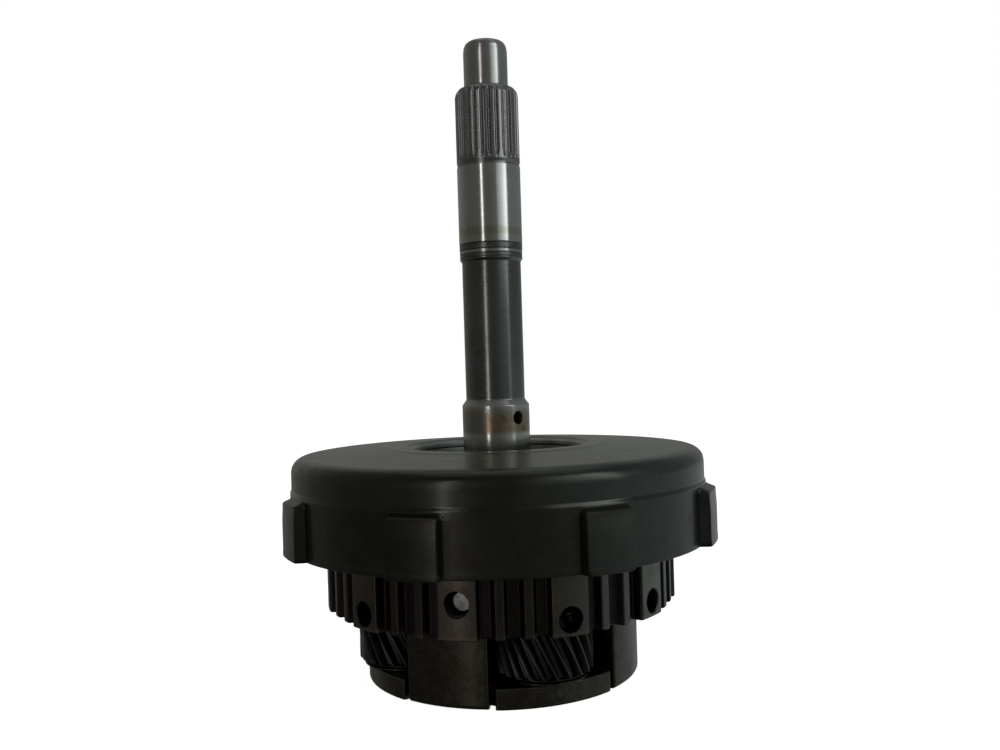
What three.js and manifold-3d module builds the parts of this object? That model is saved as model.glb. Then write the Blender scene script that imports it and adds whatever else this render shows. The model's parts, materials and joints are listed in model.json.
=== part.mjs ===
// Planetary gear set of an automatic transmission: a four-planet carrier with a
// splined clutch hub, an input shaft that drives the sun gear, and a pressed
// clutch drum with its piston and plate pack.
//
// Units are millimetres. +Z runs up along the shaft, and the origin is the centre
// of the carrier plate's lower face. Plan angles are in degrees, counted from the
// front (-Y) towards +X.

import * as THREE from 'three';
import { mergeVertices } from 'three/addons/utils/BufferGeometryUtils.js';
import Module from 'manifold-3d';

// ---------------------------------------------------------------- dimensions

// Carrier
const CARRIER_R = 51.6;          // outside of the plate, the posts and the flange
const PLATE_T = 7.5;             // lower plate thickness
const PLATE_BORE_R = 14.0;
const POST_Z0 = 0.1;             // the posts end level with the plate's lower face
const POST_IN_R = 40.0;
const TONGUE_IN_R = 47.0;       // below the plate's top a post is a thin tongue in the plate's notch
const POST_HALF_DEG = 17.3;
const POST_SLOT_DEG = 3.1;       // open slot between a post and the plate
const FLANGE_Z0 = 33.0;
const FLANGE_Z1 = 46.0;
const JOURNAL_R = 29.9;          // hub of the flange, which carries the drum
const JOURNAL_TOP = 79.0;
const CARRIER_BORE_R = 17.4;

// Planets
const PLANETS = 4;
const PLANET_DEG = 21.7;         // plan angle of the first planet
const CENTRE_R = 38.8;           // centre distance from the sun
const PLANET_TEETH = 22;
const SUN_TEETH = 32;
const HELIX_DEG = 25.0;          // at the pitch circle, left hand on the planets
const MODULE_T = 2 * CENTRE_R / (PLANET_TEETH + SUN_TEETH);
const PLANET_PITCH_R = MODULE_T * PLANET_TEETH / 2;
const SUN_PITCH_R = MODULE_T * SUN_TEETH / 2;
const PLANET_TIP_R = 17.2;
const PLANET_ROOT_R = 14.0;
const SUN_TIP_R = 24.38;
const SUN_ROOT_R = 21.2;
const GEAR_Z0 = 9.8;
const GEAR_Z1 = 30.7;
const PINION_BORE_R = 9.1;
const PIN_R = 6.2;
const PIN_HOLE_R = 6.5;
const LOCK_PIN_R = 1.6;

// Clutch hub
const HUB_Z0 = 27.2;
const HUB_Z1 = 70.0;
const HUB_TIP_R = 66.25;         // wide teeth
const HUB_RIB_R = 65.3;          // narrow teeth
const HUB_ROOT_R = 62.3;
const HUB_IN_R = 58.5;
const HUB_WEB_Z0 = 46.3;
const HUB_WEB_Z1 = 50.2;
const HUB_GROUPS = 11;           // one wide tooth and two narrow teeth in each group
const HUB_FIRST_DEG = -12.9;     // plan angle of the first wide tooth
const HUB_HOLE_R = 4.15;
const HUB_HOLE_Z = 32.8;
const HUB_HOLE_HIGH_Z = 39.3;
const HUB_HIGH_HOLES = [0, 4, 7];

// Clutch drum
const DRUM_Z0 = 49.9;
const DRUM_TOP = 86.2;
const DRUM_LOW_R = 79.05;        // wall below the step, where the lugs are
const DRUM_UP_R = 78.6;          // wall above the step
const DRUM_HOLE_R = 32.8;
const LUGS = 8;
const LUG_FIRST_DEG = -19.8;
const LUG_R = 83.0;
const LUG_HALF_DEG = 6.7;        // at the foot of a lug
const LUG_TOP = 70.6;
const CHANNEL_R = 79.5;
const CHANNEL_HALF_DEG = 4.4;
const CHANNEL_TOP = 68.4;
const SLEEVE_OUT_R = 37.0;
const SLEEVE_Z0 = 54.0;

// Plate pack, from the snap ring upwards
const PACK_Z0 = 52.9;            // lower face of the backing plate
const BACKING_T = 3.4;
const FRICTION_T = 1.8;
const STEEL_T = 1.6;
const PACK_GAP = 0.3;
const FRICTION_OUT_R = 73.8;
const STEEL_OUT_R = 74.6;
const STEEL_IN_R = 67.2;
const PACKS = 3;

// Input shaft
const SHAFT_Z0 = 1.5;
const SHAFT_Z1 = 240.75;
const COLLAR_R = 12.95;
const SHANK_R = 11.35;
const SHAFT_JOURNAL_R = 12.2;
const NOSE_R = 8.5;
const SUN_SEAT_R = 11.0;
const SPIGOT_R = 9.5;
const SPLINE_TEETH = 26;
const SPLINE_FIRST_DEG = -3.5;
const SPLINE_ROOT_R = 11.2;
const SPLINE_Z0 = 194.2;
const SPLINE_Z1 = 223.2;
const SHAFT_JOURNAL_TOP = 193.3;
const SEAL_LAND_Z = 157.5;       // lower end of the seal ring zone
const OIL_HOLE_DEG = 40.8;
const OIL_HOLE_Z = 96.3;
const OIL_HOLE_R = 2.2;
const OIL_BORE_R = 3.2;

// ------------------------------------------------------------------- helpers

const wasm = await Module();
wasm.setup();

const rad = (deg) => deg * Math.PI / 180;

// A point of the plan at a radius and a plan angle.
const plan = (r, deg) => new THREE.Vector2(r * Math.sin(rad(deg)), -r * Math.cos(rad(deg)));

// Closed mesh to solid: only the positions are kept, faces that have collapsed on
// the axis are dropped, and the faces are turned outwards.
function solid(geometry) {
  const g = geometry.clone();
  for (const name of Object.keys(g.attributes)) if (name !== 'position') g.deleteAttribute(name);
  const m = mergeVertices(g, 1e-4);
  const p = m.attributes.position.array;
  const src = m.index.array;
  const tri = [];
  let volume = 0;
  for (let i = 0; i < src.length; i += 3) {
    const [a, b, c] = [src[i], src[i + 1], src[i + 2]];
    if (a === b || b === c || a === c) continue;
    tri.push(a, b, c);
    const [ax, ay, az] = [p[3 * a], p[3 * a + 1], p[3 * a + 2]];
    const [bx, by, bz] = [p[3 * b], p[3 * b + 1], p[3 * b + 2]];
    const [cx, cy, cz] = [p[3 * c], p[3 * c + 1], p[3 * c + 2]];
    volume += ax * (by * cz - bz * cy) - ay * (bx * cz - bz * cx) + az * (bx * cy - by * cx);
  }
  if (volume < 0) for (let i = 0; i < tri.length; i += 3) [tri[i + 1], tri[i + 2]] = [tri[i + 2], tri[i + 1]];
  return new wasm.Manifold(new wasm.Mesh({
    numProp: 3, vertProperties: new Float32Array(p), triVerts: new Uint32Array(tri),
  }));
}

function geometryOf(manifold) {
  const m = manifold.getMesh();
  const g = new THREE.BufferGeometry();
  g.setAttribute('position', new THREE.BufferAttribute(new Float32Array(m.vertProperties), 3));
  g.setIndex(new THREE.BufferAttribute(new Uint32Array(m.triVerts), 1));
  g.computeVertexNormals();
  return g;
}

// Turned shape from a profile of [radius, z] points. The profile starts and ends
// on the axis, or is closed on itself here.
function turned(profile, segments) {
  const pts = profile.map(([r, z]) => new THREE.Vector2(r, z));
  const onAxis = profile[0][0] === 0 && profile[profile.length - 1][0] === 0;
  if (!onAxis) pts.push(pts[0].clone());
  return solid(new THREE.LatheGeometry(pts, segments).rotateX(Math.PI / 2));
}

// Flat ring.
const ring = (r0, r1, z0, z1, segments) => turned([[r0, z0], [r1, z0], [r1, z1], [r0, z1]], segments);

// Straight prism over a plan outline, with optional holes.
function prism(outline, z0, z1, holes = []) {
  const shape = new THREE.Shape(outline);
  for (const h of holes) shape.holes.push(new THREE.Path(h));
  return solid(new THREE.ExtrudeGeometry(shape, { depth: z1 - z0, bevelEnabled: false }).translate(0, 0, z0));
}

// Prism whose section turns steadily about Z, for helical teeth.
function twistedPrism(outline, hole, z0, z1, turnDeg, steps) {
  const shape = new THREE.Shape(outline);
  if (hole) shape.holes.push(new THREE.Path(hole));
  const g = new THREE.ExtrudeGeometry(shape, { depth: z1 - z0, steps, bevelEnabled: false });
  const p = g.attributes.position;
  for (let i = 0; i < p.count; i++) {
    const r = Math.hypot(p.getX(i), p.getY(i));
    if (r < (hole ? PINION_BORE_R + 3 : 0)) continue;
    const t = rad(turnDeg) * p.getZ(i) / (z1 - z0);
    const [x, y] = [p.getX(i), p.getY(i)];
    p.setXY(i, x * Math.cos(t) - y * Math.sin(t), x * Math.sin(t) + y * Math.cos(t));
  }
  return solid(g.translate(0, 0, z0));
}

const circle = (r, segments, phase = 0) =>
  Array.from({ length: segments }, (_, i) => plan(r, phase + 360 * i / segments));

// Sector of a ring, between two plan angles.
function sector(r0, r1, a0, a1, steps) {
  const out = [];
  for (let i = 0; i <= steps; i++) out.push(plan(r1, a0 + (a1 - a0) * i / steps));
  if (r0 <= 0) out.push(new THREE.Vector2(0, 0));
  else for (let i = steps; i >= 0; i--) out.push(plan(r0, a0 + (a1 - a0) * i / steps));
  return out;
}

// Round bar lying along a radius of the plan.
function radialBar(r, from, to, deg, z, segments) {
  const c = plan((from + to) / 2, deg);
  return solid(new THREE.CylinderGeometry(r, r, to - from, segments).rotateZ(rad(deg)).translate(c.x, c.y, z));
}

// Upright round bar.
const bar = (r, x, y, z0, z1, segments) =>
  solid(new THREE.CylinderGeometry(r, r, z1 - z0, segments).rotateX(Math.PI / 2).translate(x, y, (z0 + z1) / 2));

function repeat(count, first, make) {
  let all = null;
  for (let i = 0; i < count; i++) {
    const one = make(first + 360 * i / count, i);
    all = all ? all.add(one) : one;
  }
  return all;
}

// Outline of a toothed wheel: each tooth is a trapezium with its centre at
// first + i * pitch.
function toothed(teeth, rootR, tipR, rootHalf, tipHalf, first) {
  const out = [];
  for (let i = 0; i < teeth; i++) {
    const c = first + 360 * i / teeth;
    out.push(plan(rootR, c - rootHalf), plan(tipR, c - tipHalf), plan(tipR, c + tipHalf), plan(rootR, c + rootHalf));
  }
  return out;
}

const root = new THREE.Group();

function finish(color, roughness, metalness) {
  return { color, roughness, metalness };
}
const DARK_STEEL = finish(0x3d3f3c, 0.42, 0.95);
const DRUM_STEEL = finish(0x35382f, 0.38, 0.9);
const HUB_STEEL = finish(0x4a4540, 0.45, 0.9);
const GROUND_STEEL = finish(0x6f7370, 0.25, 1.0);
const GEAR_STEEL = finish(0x565a58, 0.3, 1.0);
const BRIGHT_STEEL = finish(0x8d908e, 0.25, 1.0);
const BRONZE = finish(0x7a5a32, 0.4, 0.9);
const FRICTION = finish(0x3a2c20, 0.85, 0.1);
const SEAL = finish(0x1a1a1a, 0.6, 0.0);
const RUBBER = finish(0x101010, 0.8, 0.0);

function piece(parent, name, geometry, look, position = [0, 0, 0], turnDeg = 0) {
  const mesh = new THREE.Mesh(
    geometry.isBufferGeometry ? geometry : geometryOf(geometry),
    new THREE.MeshStandardMaterial(look),
  );
  mesh.name = name;
  mesh.position.set(...position);
  mesh.rotation.z = rad(turnDeg);
  parent.add(mesh);
  return mesh;
}

// ------------------------------------------------------------------- carrier

const carrier = new THREE.Group();
root.add(carrier);

const stations = Array.from({ length: PLANETS }, (_, i) => PLANET_DEG + 360 * i / PLANETS);
const postCentres = stations.map((a) => a - 45);

// Lower plate: a disc notched for the posts, with the planet-pin holes and the
// radial holes of the lock pins.
{
  let plate = turned([[PLATE_BORE_R, 0], [CARRIER_R - 0.5, 0], [CARRIER_R, 0.5], [CARRIER_R, PLATE_T - 0.5],
    [CARRIER_R - 0.5, PLATE_T], [PLATE_BORE_R, PLATE_T]], 36);
  for (const a of postCentres) {
    const half = POST_HALF_DEG + POST_SLOT_DEG;
    plate = plate.subtract(prism(sector(TONGUE_IN_R - 0.6, CARRIER_R + 2, a - half, a + half, 3), -1, PLATE_T + 1));
  }
  for (const a of stations) {
    const c = plan(CENTRE_R, a);
    plate = plate.subtract(bar(PIN_HOLE_R, c.x, c.y, -1, PLATE_T + 1, 12));
    plate = plate.subtract(radialBar(LOCK_PIN_R + 0.3, CENTRE_R, CARRIER_R + 1, a, PLATE_T / 2, 8));
  }
  piece(carrier, 'carrier_plate', plate, DARK_STEEL);
}

// Cage: the upper flange with its journal, and the four posts that reach down
// through the notches of the plate.
{
  let cage = turned([
    [CARRIER_BORE_R, FLANGE_Z0], [CARRIER_R - 0.6, FLANGE_Z0], [CARRIER_R, FLANGE_Z0 + 0.6],
    [CARRIER_R, FLANGE_Z1 - 0.6], [CARRIER_R - 0.6, FLANGE_Z1], [JOURNAL_R, FLANGE_Z1],
    [JOURNAL_R, 75.9], [28.6, 75.9], [28.6, 78.0], [JOURNAL_R, 78.0], [JOURNAL_R, JOURNAL_TOP],
    [CARRIER_BORE_R, JOURNAL_TOP],
  ], 36);
  const posts = turned([
    [POST_IN_R, PLATE_T + 0.4], [TONGUE_IN_R, PLATE_T + 0.4], [TONGUE_IN_R, POST_Z0], [CARRIER_R - 1.5, POST_Z0], [CARRIER_R - 0.45, POST_Z0 + 0.45],
    [CARRIER_R, POST_Z0 + 1.5], [CARRIER_R, FLANGE_Z0 + 0.8], [POST_IN_R, FLANGE_Z0 + 0.8],
  ], 36);
  let wedges = null;
  for (const a of postCentres) {
    const w = prism(sector(POST_IN_R - 6, CARRIER_R + 3, a - POST_HALF_DEG, a + POST_HALF_DEG, 3), 0, FLANGE_Z0 + 0.4);
    wedges = wedges ? wedges.add(w) : w;
  }
  let legs = posts.intersect(wedges);
  for (const a of stations) {
    const c = plan(CENTRE_R, a);
    legs = legs.subtract(bar(PLANET_TIP_R + 1.3, c.x, c.y, -1, FLANGE_Z0, 20));
  }
  cage = cage.add(legs);
  for (const a of stations) {
    const c = plan(CENTRE_R, a);
    cage = cage.subtract(bar(PIN_HOLE_R, c.x, c.y, FLANGE_Z0 - 1, FLANGE_Z1 + 1, 12));
  }
  piece(carrier, 'carrier_cage', cage, DARK_STEEL);
}

// Clutch hub: a toothed drum with a web that sits on the carrier flange. Each
// wide tooth has one radial oil hole.
{
  const outline = [];
  const pitch = 360 / HUB_GROUPS;
  for (let i = 0; i < HUB_GROUPS; i++) {
    const c = HUB_FIRST_DEG + i * pitch;
    outline.push(plan(HUB_ROOT_R, c - 6.0), plan(HUB_TIP_R, c - 5.6), plan(HUB_TIP_R, c + 5.6), plan(HUB_ROOT_R, c + 6.0));
    for (const d of [12.1, 20.63]) {
      outline.push(plan(HUB_ROOT_R, c + d - 2.4), plan(HUB_RIB_R, c + d - 1.3), plan(HUB_RIB_R, c + d + 1.3), plan(HUB_ROOT_R, c + d + 2.4));
    }
  }
  let hub = prism(outline, HUB_Z0, HUB_Z1, [circle(HUB_IN_R, 36)]);
  hub = hub.add(ring(JOURNAL_R + 0.4, HUB_IN_R + 1.2, HUB_WEB_Z0, HUB_WEB_Z1, 36));
  hub = hub.subtract(repeat(HUB_GROUPS, HUB_FIRST_DEG, (a, i) => radialBar(HUB_HOLE_R, HUB_IN_R - 2, HUB_TIP_R + 2, a,
    HUB_HIGH_HOLES.includes(i) ? HUB_HOLE_HIGH_Z : HUB_HOLE_Z, 10)));
  piece(carrier, 'clutch_hub', hub, HUB_STEEL);
}

// Planet stations: everything sits on the front axis of a group that is turned to
// the station's plan angle.
const pinShape = turned([[0, 0.9], [PIN_R - 0.5, 0.9], [PIN_R, 1.4], [PIN_R, 45.1], [PIN_R - 0.5, 45.6], [0, 45.6]], 12)
  .subtract(radialBar(LOCK_PIN_R + 0.3, 2.0, PIN_R + 2, 0, PLATE_T / 2, 8));
const pinGeometry = geometryOf(pinShape);
const lockPinGeometry = geometryOf(radialBar(LOCK_PIN_R, CENTRE_R + 2.4, CARRIER_R - 0.35, 0, PLATE_T / 2, 8));
const pinionGeometry = geometryOf(twistedPrism(
  toothed(PLANET_TEETH, PLANET_ROOT_R, PLANET_TIP_R, 5.2, 1.3, 180 + 180 / PLANET_TEETH),
  circle(PINION_BORE_R, 12), GEAR_Z0, GEAR_Z1,
  -THREE.MathUtils.radToDeg((GEAR_Z1 - GEAR_Z0) * Math.tan(rad(HELIX_DEG)) / PLANET_PITCH_R), 2));
const needleGeometry = geometryOf(ring(PIN_R + 0.3, PINION_BORE_R - 0.4, GEAR_Z0 + 0.8, GEAR_Z1 - 0.8, 12));
const steelWasherGeometry = geometryOf(ring(PIN_R + 0.3, 15.4, PLATE_T + 0.3, PLATE_T + 1.0, 14));
const bronzeWasherGeometry = geometryOf(ring(PIN_R + 0.3, 14.9, PLATE_T + 1.3, GEAR_Z0 - 0.3, 14));
const upperWasherGeometry = geometryOf(ring(PIN_R + 0.3, 14.9, GEAR_Z1 + 0.3, FLANGE_Z0 - 0.3, 14));

stations.forEach((a, i) => {
  const n = i + 1;
  const station = new THREE.Group();
  station.rotation.z = rad(a);
  carrier.add(station);
  const at = [0, -CENTRE_R, 0];
  piece(station, `planet_pin_${n}`, pinGeometry, GROUND_STEEL, at);
  piece(station, `pin_lock_${n}`, lockPinGeometry, BRIGHT_STEEL);
  piece(station, `pinion_${n}`, pinionGeometry, GEAR_STEEL, at);
  piece(station, `pinion_needle_bearing_${n}`, needleGeometry, BRIGHT_STEEL, at);
  piece(station, `pinion_lower_steel_washer_${n}`, steelWasherGeometry, BRIGHT_STEEL, at);
  piece(station, `pinion_lower_bronze_washer_${n}`, bronzeWasherGeometry, BRONZE, at);
  piece(station, `pinion_upper_washer_${n}`, upperWasherGeometry, BRONZE, at);
});

// Bushes that carry the shaft, and the ring that keeps the drum on its journal.
piece(carrier, 'plate_bush', ring(9.7, PLATE_BORE_R - 0.3, 0.8, 6.6, 20), BRONZE);
piece(carrier, 'shaft_bush_lower', ring(COLLAR_R + 0.22, CARRIER_BORE_R - 0.3, 36.0, 46.0, 20), BRONZE);
piece(carrier, 'shaft_bush_upper', ring(COLLAR_R + 0.22, CARRIER_BORE_R - 0.3, 64.0, 76.0, 20), BRONZE);
piece(carrier, 'drum_retaining_ring', prism(sector(29.0, 32.2, 8, 352, 22), 76.3, 77.7), BRIGHT_STEEL);
piece(carrier, 'drum_thrust_bearing', ring(30.5, 36.8, HUB_WEB_Z1 + 0.3, SLEEVE_Z0 - 0.3, 24), BRIGHT_STEEL);
piece(carrier, 'sun_thrust_bearing_lower', ring(13.6, 20.0, PLATE_T + 0.3, GEAR_Z0 - 0.1, 20), BRIGHT_STEEL);
piece(carrier, 'sun_thrust_bearing_upper', ring(13.8, 20.0, GEAR_Z1 - 0.1, FLANGE_Z0 - 0.3, 20), BRIGHT_STEEL);

// Friction discs: their inner teeth sit in the grooves of the clutch hub.
const packPitch = FRICTION_T + STEEL_T + 2 * PACK_GAP;
const frictionZ = (i) => PACK_Z0 + BACKING_T + PACK_GAP + i * packPitch;
{
  const inner = [];
  const pitch = 360 / HUB_GROUPS;
  for (let i = 0; i < HUB_GROUPS; i++) {
    for (const d of [7.85, 24.88]) {
      const c = HUB_FIRST_DEG + i * pitch + d;
      inner.push(plan(66.8, c - 1.7), plan(62.8, c - 1.25), plan(62.8, c + 1.25), plan(66.8, c + 1.7));
    }
  }
  for (let i = 0; i < PACKS; i++) {
    const z = frictionZ(i);
    piece(carrier, `friction_disc_${i + 1}`, prism(circle(FRICTION_OUT_R, 32), z, z + FRICTION_T, [inner]), FRICTION);
  }
}

// --------------------------------------------------------------- input shaft

const shaftGroup = new THREE.Group();
root.add(shaftGroup);
{
  const R = SHAFT_JOURNAL_R;
  const seg = 20;
  let shaft = turned([
    [0, SHAFT_Z0], [SPIGOT_R, SHAFT_Z0], [SPIGOT_R, 6.9], [SUN_SEAT_R, 6.9],
    [SUN_SEAT_R, 7.6], [10.0, 7.6], [10.0, 9.3], [SUN_SEAT_R, 9.3],
    [SUN_SEAT_R, 33.4], [COLLAR_R, 33.4], [COLLAR_R, 101.0], [SHANK_R, 103.2], [SHANK_R, 156.0],
    [R - 0.1, SEAL_LAND_Z - 0.4], [R - 0.1, SEAL_LAND_Z], [10.6, SEAL_LAND_Z], [10.6, SEAL_LAND_Z + 1.6], [R - 0.1, SEAL_LAND_Z + 1.6],
    [R - 0.1, SEAL_LAND_Z + 3.0], [10.6, SEAL_LAND_Z + 3.0], [10.6, SEAL_LAND_Z + 5.4], [R, SEAL_LAND_Z + 5.4],
    [R, SHAFT_JOURNAL_TOP], [11.7, SHAFT_JOURNAL_TOP + 0.4], [SPLINE_ROOT_R - 0.1, SPLINE_Z0 + 0.6],
    [SPLINE_ROOT_R - 0.1, SPLINE_Z1 - 1.4], [9.6, SPLINE_Z1 - 0.2], [NOSE_R, SPLINE_Z1],
    [NOSE_R, 236.6], [8.3, 238.6], [7.7, 240.0], [6.8, SHAFT_Z1],
    [2.2, SHAFT_Z1], [0, 237.6],
  ], seg);
  // External splines, rounded off at both ends.
  const teeth = prism(toothed(SPLINE_TEETH, SPLINE_ROOT_R, R, 4.7, 3.2, SPLINE_FIRST_DEG), SPLINE_Z0, SPLINE_Z1);
  const lead = turned([[0, SPLINE_Z0 - 1], [11.6, SPLINE_Z0 - 1], [11.8, SPLINE_Z0 + 0.3], [R + 0.3, SPLINE_Z0 + 3.6], [R + 0.3, 219.6],
    [11.8, 221.2], [10.9, 222.4], [9.6, 223.0], [NOSE_R, SPLINE_Z1], [0, SPLINE_Z1]], seg);
  shaft = shaft.add(teeth.intersect(lead));
  // Oil passages: drilled up from the lower end, and out through the collar and
  // under the sun gear.
  shaft = shaft.subtract(bar(OIL_BORE_R, 0, 0, SHAFT_Z0 - 1, OIL_HOLE_Z + 3, 10));
  shaft = shaft.subtract(radialBar(OIL_HOLE_R, 0.2, COLLAR_R + 2, OIL_HOLE_DEG, OIL_HOLE_Z, 12));
  shaft = shaft.subtract(radialBar(1.6, 0.2, SUN_SEAT_R + 2.2, OIL_HOLE_DEG + 180, 50, 8));
  piece(shaftGroup, 'input_shaft', shaft, DARK_STEEL);
}
piece(shaftGroup, 'shaft_seal_ring_upper', ring(10.9, SHAFT_JOURNAL_R - 0.05, SEAL_LAND_Z + 3.25, SEAL_LAND_Z + 5.15, 20), SEAL);
piece(shaftGroup, 'shaft_seal_ring_lower', ring(10.9, SHAFT_JOURNAL_R - 0.15, SEAL_LAND_Z + 0.2, SEAL_LAND_Z + 1.4, 20), SEAL);
piece(shaftGroup, 'sun_snap_ring', prism(sector(10.4, 12.6, 12, 348, 14), 7.85, 9.05), BRIGHT_STEEL);
piece(shaftGroup, 'sun_gear', twistedPrism(
  toothed(SUN_TEETH, SUN_ROOT_R, SUN_TIP_R, 3.8, 0.95, 0),
  circle(SUN_SEAT_R + 0.35, 20), GEAR_Z0 + 0.4, GEAR_Z1 - 0.4,
  THREE.MathUtils.radToDeg((GEAR_Z1 - GEAR_Z0 - 0.8) * Math.tan(rad(HELIX_DEG)) / SUN_PITCH_R), 2),
GEAR_STEEL, [0, 0, 0],
PLANET_DEG + THREE.MathUtils.radToDeg(0.4 * Math.tan(rad(HELIX_DEG)) / SUN_PITCH_R));

// --------------------------------------------------------------- clutch drum

const drumGroup = new THREE.Group();
root.add(drumGroup);
{
  let drum = turned([
    [DRUM_LOW_R, DRUM_Z0], [DRUM_LOW_R, 71.3], [DRUM_UP_R, 72.5], [DRUM_UP_R, 78.6], [78.2, 80.7],
    [77.0, 82.5], [75.3, 83.6], [73.2, 84.05], [57.6, 84.9], [43.6, 85.7], [41.6, DRUM_TOP],
    [DRUM_HOLE_R, DRUM_TOP], [DRUM_HOLE_R, 83.2],
    [71.4, 82.0], [74.2, 79.2], [74.2, 73.3], [75.0, 70.9],
    [75.0, 52.8], [76.4, 52.8], [76.4, 50.9], [75.0, 50.9], [75.0, DRUM_Z0],
  ], 44);
  // Pressed-out lugs: closed at the top, open below, hollow behind.
  const lug = (a) => {
    const outline = [plan(78.2, a - LUG_HALF_DEG - 0.1), plan(81.9, a - LUG_HALF_DEG + 0.35), plan(LUG_R, a - LUG_HALF_DEG + 0.95),
      plan(LUG_R + 0.02, a), plan(LUG_R, a + LUG_HALF_DEG - 0.95), plan(81.9, a + LUG_HALF_DEG - 0.35), plan(78.2, a + LUG_HALF_DEG + 0.1), plan(78.2, a)];
    const g = new THREE.ExtrudeGeometry(new THREE.Shape(outline), { depth: LUG_TOP - DRUM_Z0, steps: 2, bevelEnabled: false });
    const p = g.attributes.position;
    const mid = plan(78.4, a);
    for (let i = 0; i < p.count; i++) {
      const z = p.getZ(i);
      if (z > (LUG_TOP - DRUM_Z0) * 0.75) {
        p.setXYZ(i, mid.x + (p.getX(i) - mid.x) * 0.88, mid.y + (p.getY(i) - mid.y) * 0.88, z);
        const c = plan(1, a);
        const out = (p.getX(i) * c.x + p.getY(i) * c.y) - 78.4;
        if (out > 1) p.setXYZ(i, p.getX(i) - c.x * 1.3, p.getY(i) - c.y * 1.3, z);
      } else if (z > 1) p.setZ(i, LUG_TOP - DRUM_Z0 - 2.0);
    }
    return solid(g.translate(0, 0, DRUM_Z0));
  };
  drum = drum.add(repeat(LUGS, LUG_FIRST_DEG, lug));
  drum = drum.subtract(repeat(LUGS, LUG_FIRST_DEG, (a) =>
    prism(sector(74.0, CHANNEL_R, a - CHANNEL_HALF_DEG, a + CHANNEL_HALF_DEG, 2), DRUM_Z0 - 1, CHANNEL_TOP)));
  piece(drumGroup, 'clutch_drum', drum, DRUM_STEEL);
}
piece(drumGroup, 'drum_sleeve', turned([
  [33.1, SLEEVE_Z0], [SLEEVE_OUT_R, SLEEVE_Z0], [SLEEVE_OUT_R, 61.2], [35.9, 61.2], [35.9, 63.2], [SLEEVE_OUT_R, 63.2],
  [SLEEVE_OUT_R, 82.8], [33.1, 82.8],
], 32), DRUM_STEEL);
piece(drumGroup, 'drum_bush', ring(JOURNAL_R + 0.3, 32.6, 56.0, 74.0, 32), BRONZE);
piece(drumGroup, 'drum_snap_ring', prism(sector(73.0, 76.0, LUG_FIRST_DEG + 4, LUG_FIRST_DEG + 356, 26), 51.15, 52.55), BRIGHT_STEEL);

const plateOutline = () => {
  const out = [];
  for (let i = 0; i < LUGS; i++) {
    const c = LUG_FIRST_DEG + i * 45;
    out.push(plan(STEEL_OUT_R, c - 3.9), plan(79.0, c - 3.5), plan(79.0, c + 3.5), plan(STEEL_OUT_R, c + 3.9),
      plan(STEEL_OUT_R, c + 16.3), plan(STEEL_OUT_R, c + 28.7));
  }
  return out;
};
piece(drumGroup, 'backing_plate', prism(plateOutline(), PACK_Z0, PACK_Z0 + BACKING_T, [circle(STEEL_IN_R, 30)]), GROUND_STEEL);
for (let i = 0; i < PACKS; i++) {
  const z = frictionZ(i) + FRICTION_T + PACK_GAP;
  piece(drumGroup, `steel_plate_${i + 1}`, prism(plateOutline(), z, z + STEEL_T, [circle(STEEL_IN_R, 30)]), GROUND_STEEL);
}

// Return spring of the piston: a coned disc between the piston and its retainer.
piece(drumGroup, 'piston_return_spring', turned([[39.8, 66.6], [58.0, 72.9], [58.0, 74.6], [39.8, 68.3]], 28), BRIGHT_STEEL);
piece(drumGroup, 'spring_retainer', turned([[SLEEVE_OUT_R + 0.3, 63.6], [44.5, 63.6], [44.5, 66.0], [SLEEVE_OUT_R + 0.3, 66.0]], 32), GROUND_STEEL);
piece(drumGroup, 'retainer_snap_ring', prism(sector(36.6, 39.8, 10, 350, 20), 61.5, 62.9), BRIGHT_STEEL);

// -------------------------------------------------------------------- piston

const pistonGroup = new THREE.Group();
root.add(pistonGroup);
piece(pistonGroup, 'clutch_piston', turned([
  [37.6, 75.0], [67.0, 75.0], [67.6, 70.6], [73.0, 70.6], [73.3, 76.6], [71.6, 76.6], [71.6, 79.2], [73.2, 79.2], [71.6, 81.2],
  [37.6, 81.2], [37.6, 79.2], [39.3, 79.2], [39.3, 76.7], [37.6, 76.7],
], 36), GROUND_STEEL);
piece(pistonGroup, 'piston_inner_seal', ring(37.25, 39.0, 77.0, 78.9, 36), RUBBER);
piece(pistonGroup, 'piston_outer_seal', ring(71.95, 73.8, 76.9, 78.9, 36), RUBBER);

export default root;
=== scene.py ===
import json
import math

import bpy
import numpy as np
from mathutils import Matrix, Vector

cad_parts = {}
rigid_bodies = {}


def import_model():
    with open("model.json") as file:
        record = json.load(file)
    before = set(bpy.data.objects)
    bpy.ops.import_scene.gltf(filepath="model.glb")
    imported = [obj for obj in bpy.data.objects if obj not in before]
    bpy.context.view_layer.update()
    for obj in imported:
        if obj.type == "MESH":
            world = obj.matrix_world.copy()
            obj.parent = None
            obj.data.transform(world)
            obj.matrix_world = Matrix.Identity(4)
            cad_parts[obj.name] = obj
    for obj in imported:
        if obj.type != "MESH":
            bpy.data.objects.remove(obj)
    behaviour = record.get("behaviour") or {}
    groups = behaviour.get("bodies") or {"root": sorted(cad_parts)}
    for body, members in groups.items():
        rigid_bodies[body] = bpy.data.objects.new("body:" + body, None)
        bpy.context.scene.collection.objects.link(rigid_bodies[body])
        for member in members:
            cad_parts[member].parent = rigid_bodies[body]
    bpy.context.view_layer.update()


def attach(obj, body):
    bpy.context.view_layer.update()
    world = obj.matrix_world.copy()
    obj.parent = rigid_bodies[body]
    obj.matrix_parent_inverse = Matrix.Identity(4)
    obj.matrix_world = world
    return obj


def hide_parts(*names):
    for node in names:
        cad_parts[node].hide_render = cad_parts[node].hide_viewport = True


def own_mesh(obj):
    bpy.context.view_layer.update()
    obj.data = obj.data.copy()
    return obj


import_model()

MM = 0.001
rng = np.random.default_rng(7)

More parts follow.
